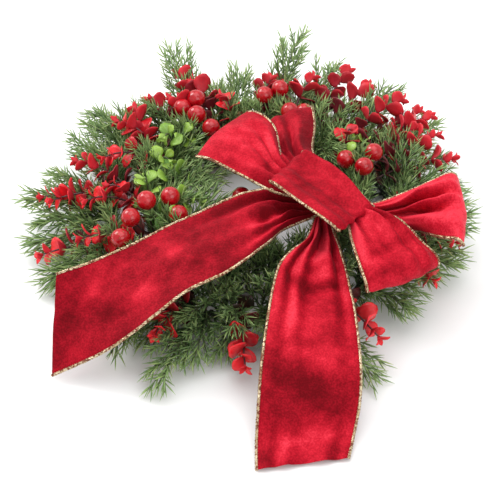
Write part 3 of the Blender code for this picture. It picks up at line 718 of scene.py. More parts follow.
def strip(name, lines, seed, folds=(), brushed=(), nap=0.0, crown=4.0, pleats=3.8, looped=True, closed=False):
    """The velvet of one strip, its two edge lines and its length, all in millimetres."""
    rough_line = smooth_line([(np.array(a) + np.array(b)) / 2 for a, b in lines], 200, closed)
    rows = int(length_of(rough_line) / ROW_STEP)
    left, right = (smooth_line([line[end] for line in lines], rows + 1, closed) for end in (0, 1))
    length = (length_of(left) + length_of(right)) / 2
    bpy.ops.object.select_all(action="DESELECT")
    bpy.ops.mesh.primitive_grid_add(x_subdivisions=ACROSS, y_subdivisions=rows, size=1)
    piece = bpy.context.object
    piece.name = name
    flat = np.array([v.co for v in piece.data.vertices])
    u = flat[:, 0] + 0.5
    row = np.rint((flat[:, 1] + 0.5) * rows).astype(int)
    column = np.rint(u * ACROSS).astype(int)
    v = row / rows
    side = (right - left)[row]
    width = np.linalg.norm(side, axis=1)
    out = unit_rows(np.cross(side, directions_of((left + right) / 2, closed)[row]))
    places = left[row] + side * u[:, None]
    calm_normals = normals_of(places, row, column)
    bulge = 4 * u * (1 - u)
    lift = crown * bulge * np.clip(width / RIBBON_WIDTH, 0, 1)
    lift += pleat_lift(u, v, width, seed, pleats, looped)
    lift += fold_height(u, v, length, folds)
    lift += unevenness(places, seed) * ((0.45 + 0.55 * bulge) * smoothstep(width, 8, 40))
    places = places + out * lift[:, None]
    # Painted light and shade, kept as the colour attribute: lighter where the cloth has turned towards the
    # fixed light and darker where it has turned away, shifted by the part's painted light level, with the given
    # marks of painted highlights, painted shade and crushed patches on top.
    turned_to_light = (normals_of(places, row, column) - calm_normals) @ PAINTED_LIGHT_DIRECTION
    pile_and_painted_light = 0.5 + nap + 0.6 * turned_to_light + fold_height(u, v, length, brushed)
    if closed:
        first = {round(float(a), 5): p for a, p in zip(u[row == 0], places[row == 0])}
        places[row == rows] = [first[round(float(a), 5)] for a in u[row == rows]]
    on_edges = [np.isclose(u, end) for end in (0, 1)]
    edges = [places[on_edge][np.argsort(row[on_edge])] for on_edge in on_edges]
    piece.data.vertices.foreach_set("co", at(places).ravel())
    piece.data.attributes.new("pile_and_painted_light", "FLOAT", "POINT").data.foreach_set("value", np.clip(pile_and_painted_light, 0.02, 0.98))
    piece.data.update()
    return piece, edges, length


print("strips ready")

# %% Give a strip its thickness
SEAM_WELD = 0.00002


def finish_strip(piece, closed=False):
    """Closes a strip's seam, gives it its thickness, rounds it and gives it the velvet."""
    alone(piece)
    if closed:
        bpy.ops.object.mode_set(mode="EDIT")
        bpy.ops.mesh.select_all(action="SELECT")
        bpy.ops.mesh.remove_doubles(threshold=SEAM_WELD)
        bpy.ops.object.mode_set(mode="OBJECT")
    thick = piece.modifiers.new("thickness", "SOLIDIFY")
    thick.thickness = CLOTH_THICKNESS * MM
    thick.offset = 0
    bpy.ops.object.modifier_apply(modifier="thickness")
    soft = piece.modifiers.new("soft", "SUBSURF")
    soft.levels = soft.render_levels = 1
    bpy.ops.object.modifier_apply(modifier="soft")
    bpy.ops.object.shade_smooth()
    piece.data.materials.append(velvet)


print("cloth is", CLOTH_THICKNESS, "mm thick")

# %% [markdown]
# ## Twisted gold edge
#
# The edging is a cord of three metallic threads twisted round the edge wire. Each thread is a curve with a
# round bevel that winds round the ribbon's edge, and all three are turned into one mesh.

# %% Make a gold edge
THREADS = 3
THREAD_RADIUS = 0.58
THREAD_STEP = 0.9
TWIST_RADIUS = 0.6
TWIST_PITCH = 5.5


def tubes(name, runs, material, closed=False, roundness=0):
    """Wires or stems as one mesh. Each run is a line and its radius at every point, in millimetres."""
    curve = bpy.data.curves.new(name, "CURVE")
    curve.dimensions = "3D"
    curve.bevel_depth = MM
    curve.bevel_resolution = roundness
    curve.use_fill_caps = not closed
    for line, radius in runs:
        spline = curve.splines.new("POLY")
        spline.points.add(len(line) - 1)
        spline.points.foreach_set("co", np.c_[at(line), np.ones(len(line))].ravel())
        spline.points.foreach_set("radius", np.ones(len(line)) * radius)
        spline.use_cyclic_u = closed
    piece = bpy.data.objects.new(name, curve)
    bpy.context.scene.collection.objects.link(piece)
    alone(piece)
    bpy.ops.object.convert(target="MESH")
    piece = bpy.context.object
    bpy.ops.object.shade_smooth()
    piece.data.materials.clear()
    piece.data.materials.append(material)
    return piece


def gold_edge(name, lines, closed=False):
    """Three twisted threads along each of the lines."""
    runs = []
    for line in lines:
        line = evenly(line, int(length_of(line) / THREAD_STEP))
        sides, ups = frames_along(line)
        turns = round(length_of(line) / TWIST_PITCH)
        angle = np.linspace(0, math.tau * turns, len(line))
        for k in range(THREADS):
            a = (angle + math.tau * k / THREADS)[:, None]
            wound = line + (sides * np.cos(a) + ups * np.sin(a)) * TWIST_RADIUS
            runs.append((wound[:-1] if closed else wound, THREAD_RADIUS))
    return tubes(name, runs, gold, closed)


print("gold edges ready")

# %% Helper: sew one part of the bow


def sew(part, lines, seed, held, rests_on=("wire_frame",), edge_parts=None, **shape):
    """One strip of the bow with its gold edges, both kept on the wreath."""
    closed = shape.get("closed", False)
    velvet_piece, edges, length = strip("velvet_" + part, lines, seed, **shape)
    finish_strip(velvet_piece, closed)
    keep(velvet_piece, "red_velvet", "bow_" + part)
    if edge_parts:
        groups = {edge_part: [edge] for edge_part, edge in zip(edge_parts, edges)}
    else:
        groups = {part: edges}
    golds = []
    for edge_part, group in groups.items():
        golds.append(gold_edge("braided_gold_edge_" + edge_part, group, closed))
        keep(golds[-1], "gold_thread", "gold_edge_" + edge_part)
    area = sum(face.area for face in velvet_piece.data.polygons) / 2 / (RIBBON_WIDTH * length * MM * MM)
    print(f"velvet_{part}: {length:.0f} mm of ribbon, {area:.2f} of its flat area")
    return velvet_piece


print("ready to sew")

# %% [markdown]
# ## Left and back loops
#
# A loop's cross lines run out along its upper layer, round its fold and back along its lower layer. The left
# loop lies lightly on the berries and sprays. The back loop stands half behind it and half behind the band.
# Both start and end in a gathered waist beside the knot, at two heights so that their layers stay apart.

# %% Sew the left loop
LEFT_WAIST = (69.8, 67.8)
LEFT_LOOP = [
    ((12, -48, 69.8), (22, -19, 69.8)),
    ((-13, -33, 74), (15, 17, 75)),
    ((-31, -22, 76), (4, 31, 77)),
    ((-41, -14, 72), (-6, 40, 70.5)),
    ((-29, -17, 71), (5, 31, 64)),
    ((-10, -29, 69), (15, 17, 64.6)),
    ((14, -44, 67.6), (22, -19, 67.6)),
]
LEFT_FOLDS = [
    ((0.22, 0.36), (0.46, 0.1), 4.0, -3.2),
    ((0.34, 0.34), (0.6, 0.1), 5.0, 2.6),
    ((0.86, 0.2), (0.62, 0.08), 4.0, -3.0),
    ((0.94, 0.24), (0.74, 0.1), 3.5, 2.2),
    ((0.6, 0.3), (0.8, 0.38), 7.0, -1.4),
]
# Painted light and shade on this loop: marks of painted highlight and painted shade, most along its folds and
# creases, and patches of crushed hairs. Each runs between two (across, along) ends, with a width and how much
# it lightens the colour; a mark below zero darkens it.
LEFT_PAINTED_LIGHT_AND_CRUSH = [
    ((0.35, 0.4), (0.75, 0.34), 16.0, 0.16),
    ((0.5, 0.28), (0.38, 0.2), 5.0, -0.3),
    ((0.86, 0.2), (0.78, 0.06), 4.0, -0.4),
    ((0.2, 0.22), (0.28, 0.05), 4.0, -0.3),
    ((0.1, 0.3), (0.14, 0.1), 6.0, -0.15),
]
left_loop = sew(
    "loop_left",
    with_waist(LEFT_LOOP, *LEFT_WAIST),
    seed=1,
    held="folded",
    folds=LEFT_FOLDS,
    brushed=LEFT_PAINTED_LIGHT_AND_CRUSH,
    # the painted light level of the whole loop
    nap=0.1,
)

# %% Sew the back loop
BACK_WAIST = (65.2, 63.2)
BACK_LOOP = [
    ((18, -26, 64.2), (47, -19, 65)),
    ((3, 0, 60), (41, 8, 64)),
    ((-6, 18, 56), (44, 38, 62)),
    ((-9, 32, 52), (43, 60, 62)),
    ((-10, 38, 47), (41, 68, 56)),
    ((-9, 32, 43), (42, 60, 50)),
    ((-5, 17, 46), (43, 37, 51)),
    ((4, -1, 53), (41, 6, 55)),
    ((20, -26, 61.4), (47, -20, 61.6)),
]
BACK_FOLDS = [
    ((0.62, 0.36), (0.5, 0.08), 4.5, -3.4),
    ((0.72, 0.34), (0.62, 0.1), 4.5, 2.6),
    ((0.3, 0.4), (0.34, 0.12), 6.0, 2.2),
    ((0.86, 0.3), (0.8, 0.12), 5.0, -2.0),
]
# Painted light and shade on this loop: marks of painted highlight and painted shade, most along its folds and
# creases, and patches of crushed hairs. Each runs between two (across, along) ends, with a width and how much
# it lightens the colour; a mark below zero darkens it.
BACK_PAINTED_LIGHT_AND_CRUSH = [
    ((0.5, 0.36), (0.66, 0.1), 4.0, -0.3),
    ((0.85, 0.4), (0.9, 0.2), 9.0, -0.2),
    ((0.15, 0.4), (0.2, 0.15), 9.0, 0.12),
]
back_loop = sew(
    "loop_back",
    with_waist(BACK_LOOP, *BACK_WAIST),
    seed=2,
    held="folded",
    folds=BACK_FOLDS,
    brushed=BACK_PAINTED_LIGHT_AND_CRUSH,
    # the painted light level of the whole loop
    nap=-0.02,
)

# %% [markdown]
# ## Right and front loops
#
# The right loop is gathered hard beside the band, so its pleats fan out to a soft rolled fold. The front
# loop hangs towards the viewer, with a bright ridge down its left side and a rolled fold at the bottom.

# %% Sew the right loop
RIGHT_WAIST = (63.0, 61.0)
RIGHT_LOOP = [
    ((80, -60, 66), (78, -72, 58)),
    ((106, -55, 75), (104, -75, 56)),
    ((121, -51, 81), (120, -95, 68)),
    ((131, -48, 83), (130, -107, 76)),
    ((136, -46, 77), (135, -110, 70)),
    ((131, -46, 70), (130, -102, 71.5)),
    ((119, -49, 67), (119, -88, 63.5)),
    ((103, -56, 63), (102, -69, 54)),
    ((78, -61, 60), (76, -69, 55)),
]
RIGHT_FOLDS = [
    ((0.05, 0.08), (0.05, 0.47), 4.0, 5.5),
    ((0.34, 0.1), (0.56, 0.34), 4.5, -3.0),
    ((0.48, 0.12), (0.68, 0.34), 4.5, 3.0),
    ((0.7, 0.14), (0.82, 0.32), 5.0, -2.6),
    ((0.15, 0.3), (0.3, 0.42), 8.0, 1.6),
    ((0.05, 0.4), (0.95, 0.41), 5.0, -1.2),
]
# Painted light and shade on this loop: marks of painted highlight and painted shade, most along its folds and
# creases, and patches of crushed hairs. Each runs between two (across, along) ends, with a width and how much
# it lightens the colour; a mark below zero darkens it.
RIGHT_PAINTED_LIGHT_AND_CRUSH = [
    ((0.36, 0.05), (0.56, 0.36), 3.0, -0.2),
    ((0.45, 0.04), (0.5, 0.3), 9.0, 0.22),
    ((0.12, 0.06), (0.16, 0.3), 6.0, 0.15),
    ((0.78, 0.04), (0.8, 0.24), 6.0, 0.14),
    ((0.62, 0.3), (0.86, 0.4), 6.0, -0.22),
]
right_loop = sew(
    "loop_right",
    with_waist(RIGHT_LOOP, *RIGHT_WAIST),
    seed=3,
    held="folded",
    folds=RIGHT_FOLDS,
    brushed=RIGHT_PAINTED_LIGHT_AND_CRUSH,
    # the painted light level of the whole loop, much lighter than the others
    nap=0.56,
    pleats=6.4,
)

# %% Sew the front loop
FRONT_WAIST = (69.8, 67.8)
FRONT_LOOP = [
    ((82, -70, 69.8), (60, -85, 69.8)),
    ((97, -76, 68), (63, -103, 68)),
    ((112, -91, 59), (67, -121, 64)),
    ((120, -100, 54), (71, -133, 58)),
    ((121, -103, 49), (72, -136, 53.5)),
    ((118, -97, 45), (74, -128, 51.5)),
    ((110, -87, 53), (71, -114, 57)),
    ((95, -74, 64), (67, -98, 63.5)),
    ((80, -69, 67.6), (61, -83, 67.6)),
]
FRONT_FOLDS = [
    ((0.8, 0.08), (0.7, 0.28), 4.5, -4.0),
    ((0.93, 0.1), (0.9, 0.42), 5.5, 3.0),
    ((0.5, 0.14), (0.42, 0.32), 10.0, 2.6),
    ((0.28, 0.1), (0.2, 0.24), 5.0, -2.4),
    ((0.06, 0.37), (0.85, 0.38), 4.5, -2.4),
    ((0.04, 0.43), (0.96, 0.43), 4.5, 1.8),
]
# Painted light and shade on this loop: a painted highlight on the ridge down its left side, painted shade in
# its creases, and patches of crushed hairs. Each runs between two (across, along) ends, with a width and how
# much it lightens the colour; a mark below zero darkens it.
FRONT_PAINTED_LIGHT_AND_CRUSH = [
    ((0.92, 0.06), (0.93, 0.36), 5.0, 0.25),
    ((0.74, 0.05), (0.72, 0.24), 4.0, -0.45),
    ((0.35, 0.04), (0.2, 0.12), 8.0, -0.2),
    ((0.45, 0.24), (0.4, 0.34), 10.0, 0.2),
    ((0.2, 0.2), (0.14, 0.3), 5.0, -0.25),
    ((0.05, 0.4), (0.95, 0.41), 3.0, -0.3),
]
front_loop = sew(
    "loop_front",
    with_waist(FRONT_LOOP, *FRONT_WAIST),
    seed=4,
    held="folded",
    folds=FRONT_FOLDS,
    brushed=FRONT_PAINTED_LIGHT_AND_CRUSH,
    # the painted light level of the whole loop
    nap=0.1,
)

# %% [markdown]
# ## Tails
#
# The two tails leave the knot under the loops. The left one runs across the wreath and droops over its rim
# to the surface. The right one hangs straight towards the viewer, wider as it comes out of its gathers.

# %% Sew the left tail
LEFT_TAIL_WAIST = 60.5
LEFT_TAIL = [
    ((22, -77, 61), (21, -50, 62)),
    ((10, -97, 65), (9, -46, 66)),
    ((-4, -117, 67), (-12, -55, 68)),
    ((-20, -131, 65), (-34, -66, 65)),
    ((-42, -142, 61), (-60, -80, 61)),
    ((-64, -154, 50), (-84, -96, 58)),
    ((-92, -162, 29), (-107, -107, 54)),
    ((-131, -161, 4), (-129, -114, 50)),
]
LEFT_TAIL_FOLDS = [
    ((0.8, 0.08), (0.84, 0.5), 5.5, -4.0),
    ((0.5, 0.04), (0.3, 0.13), 4.0, 4.0),
    ((0.34, 0.17), (0.5, 0.24), 6.0, -4.2),
    ((0.2, 0.2), (0.4, 0.3), 4.0, 2.2),
    ((0.56, 0.14), (0.64, 0.26), 4.5, 2.4),
    ((0.35, 0.36), (0.55, 0.7), 9.0, 2.0),
    ((0.1, 0.62), (0.4, 0.86), 8.0, -1.6),
]
# Painted light and shade on this tail: marks of painted highlight and painted shade, most along its folds and
# creases, and patches of crushed hairs. Each runs between two (across, along) ends, with a width and how much
# it lightens the colour; a mark below zero darkens it.
LEFT_TAIL_PAINTED_LIGHT_AND_CRUSH = [
    ((0.84, 0.05), (0.82, 0.32), 4.0, -0.25),
    ((0.45, 0.02), (0.55, 0.06), 5.0, 0.35),
    ((0.3, 0.1), (0.42, 0.13), 5.0, -0.35),
    ((0.35, 0.2), (0.6, 0.36), 11.0, 0.34),
    ((0.12, 0.22), (0.16, 0.34), 6.0, 0.2),
    ((0.2, 0.46), (0.85, 0.48), 8.0, -0.2),
    ((0.5, 0.56), (0.68, 0.55), 6.0, 0.42),
    ((0.16, 0.44), (0.3, 0.45), 4.0, 0.25),
    ((0.66, 0.64), (0.78, 0.66), 6.0, -0.22),
    ((0.28, 0.62), (0.42, 0.72), 7.0, 0.44),
    ((0.62, 0.88), (0.74, 0.84), 7.0, 0.34),
    ((0.3, 0.8), (0.44, 0.78), 6.0, -0.2),
    ((0.06, 0.7), (0.1, 0.8), 6.0, -0.2),
    ((0.05, 0.88), (0.08, 0.98), 6.0, 0.3),
    ((0.2, 0.93), (0.8, 0.94), 14.0, -0.2),
]
left_tail = sew(
    "tail_left",
    with_waist(LEFT_TAIL, LEFT_TAIL_WAIST),
    seed=5,
    held="draped",
    folds=LEFT_TAIL_FOLDS,
    brushed=LEFT_TAIL_PAINTED_LIGHT_AND_CRUSH,
    # the painted light level of the whole tail, darker than the loops
    nap=-0.2,
    crown=1.5,
    looped=False,
)

# %% Sew the right tail
RIGHT_TAIL_WAIST = 58.3
RIGHT_TAIL = [
    ((54, -84, 54), (35, -85, 57)),
    ((57, -98, 51), (26, -98, 59)),
    ((60, -111, 46), (17, -112, 58)),
    ((63, -131, 41), (12, -130, 53)),
    ((65, -152, 37), (8, -153, 45)),
    ((66, -178, 31), (4, -183, 34)),
    ((65, -198, 20), (2, -207, 22)),
    ((61, -214, 7), (1, -222, 9)),
    ((57, -230, 1.9), (1, -239, 1.9)),
]
RIGHT_TAIL_FOLDS = [
    ((0.78, 0.03), (0.72, 0.12), 6.0, 4.0),
    ((0.62, 0.12), (0.1, 0.2), 4.0, -3.6),
    ((0.5, 0.1), (0.4, 0.04), 4.0, -3.0),
    ((0.55, 0.22), (0.45, 0.28), 13.0, 3.6),
    ((0.92, 0.28), (0.62, 0.37), 4.5, -3.2),
    ((0.6, 0.37), (0.08, 0.33), 4.5, -3.2),
    ((0.3, 0.5), (0.6, 0.62), 10.0, 1.6),
    ((0.85, 0.6), (0.7, 0.82), 8.0, -1.5),
]
# Painted light and shade on this tail: marks of painted highlight and painted shade, most along its folds and
# creases, and patches of crushed hairs. Each runs between two (across, along) ends, with a width and how much
# it lightens the colour; a mark below zero darkens it.
RIGHT_TAIL_PAINTED_LIGHT_AND_CRUSH = [
    ((0.9, 0.04), (0.72, 0.08), 6.0, 0.22),
    ((0.5, 0.05), (0.66, 0.12), 3.5, -0.45),
    ((0.6, 0.13), (0.2, 0.2), 3.0, 0.3),
    ((0.2, 0.1), (0.08, 0.19), 5.0, -0.35),
    ((0.6, 0.22), (0.45, 0.26), 11.0, 0.16),
    ((0.9, 0.27), (0.5, 0.325), 3.5, 0.3),
    ((0.5, 0.325), (0.15, 0.29), 3.5, 0.3),
    ((0.92, 0.31), (0.5, 0.37), 4.0, -0.2),
    ((0.5, 0.37), (0.1, 0.34), 4.0, -0.2),
    ((0.75, 0.37), (0.3, 0.4), 7.0, -0.2),
    ((0.8, 0.46), (0.6, 0.52), 11.0, 0.24),
    ((0.36, 0.45), (0.34, 0.56), 6.0, -0.16),
    ((0.1, 0.5), (0.16, 0.53), 6.0, 0.24),
    ((0.95, 0.57), (0.3, 0.66), 4.0, 0.2),
    ((0.5, 0.6), (0.05, 0.63), 6.0, 0.26),
    ((1.0, 0.65), (0.5, 0.73), 8.0, -0.28),
    ((1.0, 0.74), (0.0, 0.74), 8.0, -0.34),
    ((1.0, 0.81), (0.0, 0.8), 7.0, -0.34),
    ((0.9, 0.93), (0.0, 0.9), 6.0, 0.34),
    ((0.97, 0.93), (0.9, 0.99), 5.0, -0.4),
]
right_tail = sew(
    "tail_right",
    with_waist(RIGHT_TAIL, RIGHT_TAIL_WAIST),
    seed=6,
    held="draped",
    folds=RIGHT_TAIL_FOLDS,
    brushed=RIGHT_TAIL_PAINTED_LIGHT_AND_CRUSH,
    # the painted light level of the whole tail
    nap=0.0,
    crown=1.5,
    looped=False,
)

# %% [markdown]
# ## Band
#
# A short closed loop of the same ribbon covers the knot. Its short ends are crisp folds, and its middle has
# a soft dimple where it is drawn down. Its far edge is rolled under, so that from the front only the near
# gold edge shows.

# %% Sew the band
BAND = [
    ((37, -13, 73), (12.5, -55, 81)),
    ((58.5, -41, 75), (32, -80, 82.5)),
    ((75, -66, 73), (50, -99, 81)),
    ((79, -69.5, 71), (54.5, -103, 78)),
    ((75, -66, 69.5), (54, -100, 75)),
    ((56, -41, 70), (36, -77, 76)),
    ((36, -14, 70), (15, -55, 76)),
    ((33.5, -8.5, 71), (9.5, -52, 78)),
]
BAND_FOLDS = [
    ((0.12, -0.12), (0.12, 0.5), 5.0, 9.0),
    ((0.55, 0.12), (0.6, 0.22), 9.0, -2.0),
    ((0.35, 0.56), (0.35, 0.9), 8.0, -4.0),
]
# Painted light and shade on the band: painted shade in its dimple and a lighter mark near its end. Each runs
# between two (across, along) ends, with a width and how much it lightens the colour; below zero darkens it.
BAND_PAINTED_LIGHT_AND_CRUSH = [((0.6, 0.12), (0.64, 0.24), 9.0, -0.26), ((0.85, 0.02), (0.8, 0.1), 8.0, 0.1)]
band = sew(
    "band",
    BAND,
    seed=7,
    held="folded",
    rests_on=("bow_tie_wire",),
    edge_parts=("band_far", "band_near"),
    folds=BAND_FOLDS,
    brushed=BAND_PAINTED_LIGHT_AND_CRUSH,
    # the painted light level of the whole band
    nap=-0.06,
    crown=0.0,
    pleats=2.0,
    looped=False,
    closed=True,
)

# %% [markdown]
# ## Wire frame
#
# Everything is tied to two rings of black wire with short wires welded between them. A torus is right for a
# ring. The cross wires are thin tubes that swell at their ends, where the weld has spread.

# %% Bend the wire frame
RING_RADIUS = {"inner": 76.0, "outer": 104.0}
WIRE_RADIUS = 1.2
CROSS_WIRE_ANGLES = (20, 80, 140, 200, 260, 320)
CROSS_WIRE_RADIUS = 0.95
WELD_SPREAD = 0.5
WELD_SHARES = (1, 0.3, 0, 0, 0, 0, 0, 0.3, 1)


def round_the_ring(radius, degrees):
    """A place on a ring of wire, at the middle of the wire."""
    turn = math.radians(degrees)
    return np.array((radius * math.cos(turn), radius * math.sin(turn), WIRE_RADIUS))


rings = []
for radius in RING_RADIUS.values():
    bpy.ops.mesh.primitive_torus_add(
        location=at((0, 0, WIRE_RADIUS)),
        major_radius=radius * MM,
        minor_radius=WIRE_RADIUS * MM,
        major_segments=120,
        minor_segments=10,
    )
    rings.append(bpy.context.object)
    rings[-1].data.materials.append(wire_black)
cross_wires = []
for degrees in CROSS_WIRE_ANGLES:
    ends = [round_the_ring(radius, degrees) for radius in RING_RADIUS.values()]
    line = evenly(np.array(ends), len(WELD_SHARES))
    cross_wires.append((line, CROSS_WIRE_RADIUS + WELD_SPREAD * np.array(WELD_SHARES)))
rings.append(tubes("wire_frame_dressed", cross_wires, wire_black, roundness=1))
alone(*rings)
bpy.ops.object.join()
bpy.ops.object.transform_apply(location=True, rotation=True, scale=True)
bpy.ops.object.shade_smooth()
wire = bpy.context.object
keep(wire, "dark_wire", "wire_frame")
print("wire frame:", triangles(wire), "triangles")

# %% [markdown]
# ## The wire under the bow
#
# A doubled and twisted wire runs down from the knot and hooks over the inner ring. It is almost hidden, but
# it is what holds the bow, so it is there.

# %% Bend the tie wire
TIE_HEIGHTS = (70.8, 44.0, 14.0)
TIE_POINTS = 90
TIE_TWISTS = 9
TIE_STRAND_RADIUS = 0.42
HOOK_RADIUS = 2.2
HOOK_START = -60
HOOK_SWEEP = 155
HOOK_STEPS = 8
tie_turn = math.atan2(BOW_KNOT[1], BOW_KNOT[0])
tie_out = np.array((math.cos(tie_turn), math.sin(tie_turn), 0))
ring_wire = tie_out * RING_RADIUS["inner"] + np.array((0, 0, WIRE_RADIUS))
tie_route = [(*BOW_KNOT, height) for height in TIE_HEIGHTS]
for step in range(HOOK_STEPS + 1):
    a = math.radians(HOOK_START + HOOK_SWEEP * step / HOOK_STEPS)
    tie_route.append(ring_wire + (tie_out * math.sin(a) + np.array((0, 0, math.cos(a)))) * HOOK_RADIUS)
tie_line = smooth_line(tie_route, TIE_POINTS)
tie_sides, tie_ups = frames_along(tie_line)
a = np.linspace(0, math.tau * TIE_TWISTS, TIE_POINTS)[:, None]
tie_offset = (tie_sides * np.cos(a) + tie_ups * np.sin(a)) * TIE_STRAND_RADIUS
strands = [(tie_line + tie_offset, TIE_STRAND_RADIUS), (tie_line - tie_offset, TIE_STRAND_RADIUS)]
keep(tubes("bow_tie_wire_dressed", strands, wire_black), "dark_wire", "bow_tie_wire")
print("tie wire:", round(length_of(tie_line)), "mm long")

# %% [markdown]
# ## Room for the leaves
#
# No needle or leaf may poke through the ribbon, into the table or into the middle of the ring. A bounding
# volume tree of all the velvet answers quickly whether a short line meets it.

# %% Test for room
HOLE_RADIUS = 46.0
HOLE_HEIGHT = 44.0
FLOOR_ROOM = 0.8
# The last two are in metres, as the tree is: how far a line looks past its end, and the room beside it.
LOOK_PAST_END = 0.0006
VELVET_ROOM = 0.0012
velvet_points = []
velvet_faces = []
for piece in (left_loop, back_loop, right_loop, front_loop, left_tail, right_tail, band):
    first = len(velvet_points)
    velvet_points += [v.co.copy() for v in piece.data.vertices]
    velvet_faces += [tuple(first + k for k in face.vertices) for face in piece.data.polygons]
velvet_tree = BVHTree.FromPolygons(velvet_points, velvet_faces)


def free(line):
    """Whether a line of points stays clear of the ribbon, the table and the middle of the ring."""
    if min(p[2] for p in line) < FLOOR_ROOM:
        return False
    if any(p[2] < HOLE_HEIGHT and math.hypot(p[0], p[1]) < HOLE_RADIUS for p in line):
        return False
    for start, end in zip(line, line[1:]):
        start, end = Vector(at(start)), Vector(at(end))
        run = end - start
        if velvet_tree.ray_cast(start, run.normalized(), run.length + LOOK_PAST_END)[0] is not None:
            return False
        if velvet_tree.find_nearest(end, VELVET_ROOM)[0] is not None:
            return False
    return True


print("faces of velvet in the tree:", len(velvet_faces))

# %% [markdown]
# ## One needle, one leaf
#
# What repeats is modelled once. A needle starts as a tiny triangle that is extruded twice, wider and then
# to a point. A leaf starts as a grid whose rows are stretched to the leaf's outline, then cupped and
# given a thickness. Both are one unit long and point along Y, so that a copy can have any size.

# %% Helpers to shape by hand


def select_where(piece, test):
    """In edit mode, selects the points for which the test is true."""
    bpy.ops.mesh.select_all(action="DESELECT")
    bpy.ops.object.mode_set(mode="OBJECT")
    for point in piece.data.vertices:
        point.select = bool(test(point.co))
    bpy.ops.object.mode_set(mode="EDIT")


def take_shape(piece, long_mark):
    """The points, faces, UVs and marks of a small piece, which is then removed."""
    mesh = piece.data
    points = np.array([v.co for v in mesh.vertices])
    faces = [tuple(face.vertices) for face in mesh.polygons]
    plan = np.array([loop.uv for loop in mesh.uv_layers.active.data]) if mesh.uv_layers else None
    marks = points[:, 1] if long_mark else np.array([float(v.normal.z < -0.2) for v in mesh.vertices])
    bpy.data.objects.remove(piece)
    return {"points": points, "faces": faces, "plan": plan, "marks": marks}


print("shaping helpers ready")

# %% Shape one needle
NEEDLE_RADIUS = 0.042
# Each step of the needle: how far it is extruded, how its width changes and how far it rises.
NEEDLE_STEPS = ((0.5, 1.35, 0.01), (0.5, 0.12, 0.05))
bpy.ops.object.select_all(action="DESELECT")
bpy.ops.mesh.primitive_circle_add(vertices=3, radius=NEEDLE_RADIUS, rotation=(-math.pi / 2, 0, 0))
needle = bpy.context.object
bpy.ops.object.transform_apply(rotation=True)
bpy.ops.object.mode_set(mode="EDIT")
bpy.ops.mesh.select_all(action="SELECT")
reached = 0.0
for run, width, rise in NEEDLE_STEPS:
    reached += run
    bpy.ops.mesh.extrude_region_move(TRANSFORM_OT_translate={"value": (0, run, rise)})
    bpy.ops.transform.resize(value=(width, 1, width), center_override=(0, reached, rise))
bpy.ops.mesh.select_all(action="SELECT")
bpy.ops.mesh.normals_make_consistent(inside=False)
bpy.ops.object.mode_set(mode="OBJECT")
bpy.ops.object.shade_smooth()
NEEDLE = take_shape(needle, long_mark=True)
print("a needle has", len(NEEDLE["faces"]), "faces")

# %% Shape one leaf of each kind
LEAF_THICKNESS = 0.032
CUPPED_BEYOND = (0.1, 0.3)


def leaf_shape(half_widths, cup, curl):
    """A cupped leaf from its half widths from base to tip, as shares of its length."""
    rows = len(half_widths) - 1
    bpy.ops.object.select_all(action="DESELECT")
    bpy.ops.mesh.primitive_grid_add(x_subdivisions=4, y_subdivisions=rows, size=1, location=(0, 0.5, 0))
    leaf = bpy.context.object
    bpy.ops.object.transform_apply(location=True)
    bpy.ops.object.mode_set(mode="EDIT")
    for row, half in enumerate(half_widths):
        y = row / rows
        select_where(leaf, lambda place: abs(place.y - y) < 0.01)
        bpy.ops.transform.resize(value=(half * 2, 1, 1), center_override=(0, y, 0))
        bpy.ops.transform.translate(value=(0, 0, curl * (1 - y) * y * 4 - curl * y))
    for reach in CUPPED_BEYOND:
        select_where(leaf, lambda place: abs(place.x) > reach)
        bpy.ops.transform.translate(value=(0, 0, cup))
    bpy.ops.object.mode_set(mode="OBJECT")
    thick = leaf.modifiers.new("thickness", "SOLIDIFY")
    thick.thickness = LEAF_THICKNESS
    thick.offset = 0
    bpy.ops.object.modifier_apply(modifier="thickness")
    bpy.ops.object.shade_smooth()
    return take_shape(leaf, long_mark=False)


ROUND_LEAF = leaf_shape((0.05, 0.28, 0.43, 0.47, 0.38, 0.11), cup=0.04, curl=0.09)
SPOON_LEAF = leaf_shape((0.04, 0.09, 0.24, 0.38, 0.38, 0.13), cup=0.03, curl=0.1)
print("a round leaf has", len(ROUND_LEAF["faces"]), "faces")

# %% [markdown]
# ## Copies
#
# One mesh holds all the needles or leaves of one stem. Each copy is put in place by the directions of its
# width, length and thickness, and its points carry the growth marks that the finishes read. The stem is a
# tube, and is joined to what grows on it, as they are one moulded or wired piece.

# %% Helpers: copies of a shape, and what they grow on


def copies(name, shape, places, material):
    """One mesh of copies. A place is an origin, three directions, an age and a number of its own."""
    count = len(shape["points"])
    origins = np.array([place[0] for place in places])
    basis = np.array([place[1] for place in places])
    points = at(np.einsum("mji,nj->mni", basis, shape["points"]) + origins[:, None]).reshape(-1, 3)
    faces = [tuple(count * k + v for v in face) for k in range(len(places)) for face in shape["faces"]]
    mesh = bpy.data.meshes.new(name)
    mesh.from_pydata(points.tolist(), [], faces)
    marks = np.zeros((len(places), count, 3))
    marks[:, :, 0] = np.array([place[2] for place in places])[:, None]
    marks[:, :, 1] = np.array([place[3] for place in places])[:, None]
    marks[:, :, 2] = shape["marks"][None]
    mesh.attributes.new("growth", "FLOAT_VECTOR", "POINT").data.foreach_set("vector", marks.ravel())
    if shape["plan"] is not None:
        plan = mesh.uv_layers.new(name="UVMap")
        plan.data.foreach_set("uv", np.tile(shape["plan"], (len(places), 1)).ravel())
    mesh.shade_smooth()
    mesh.materials.append(material)
    piece = bpy.data.objects.new(name, mesh)
    bpy.context.scene.collection.objects.link(piece)
    return piece


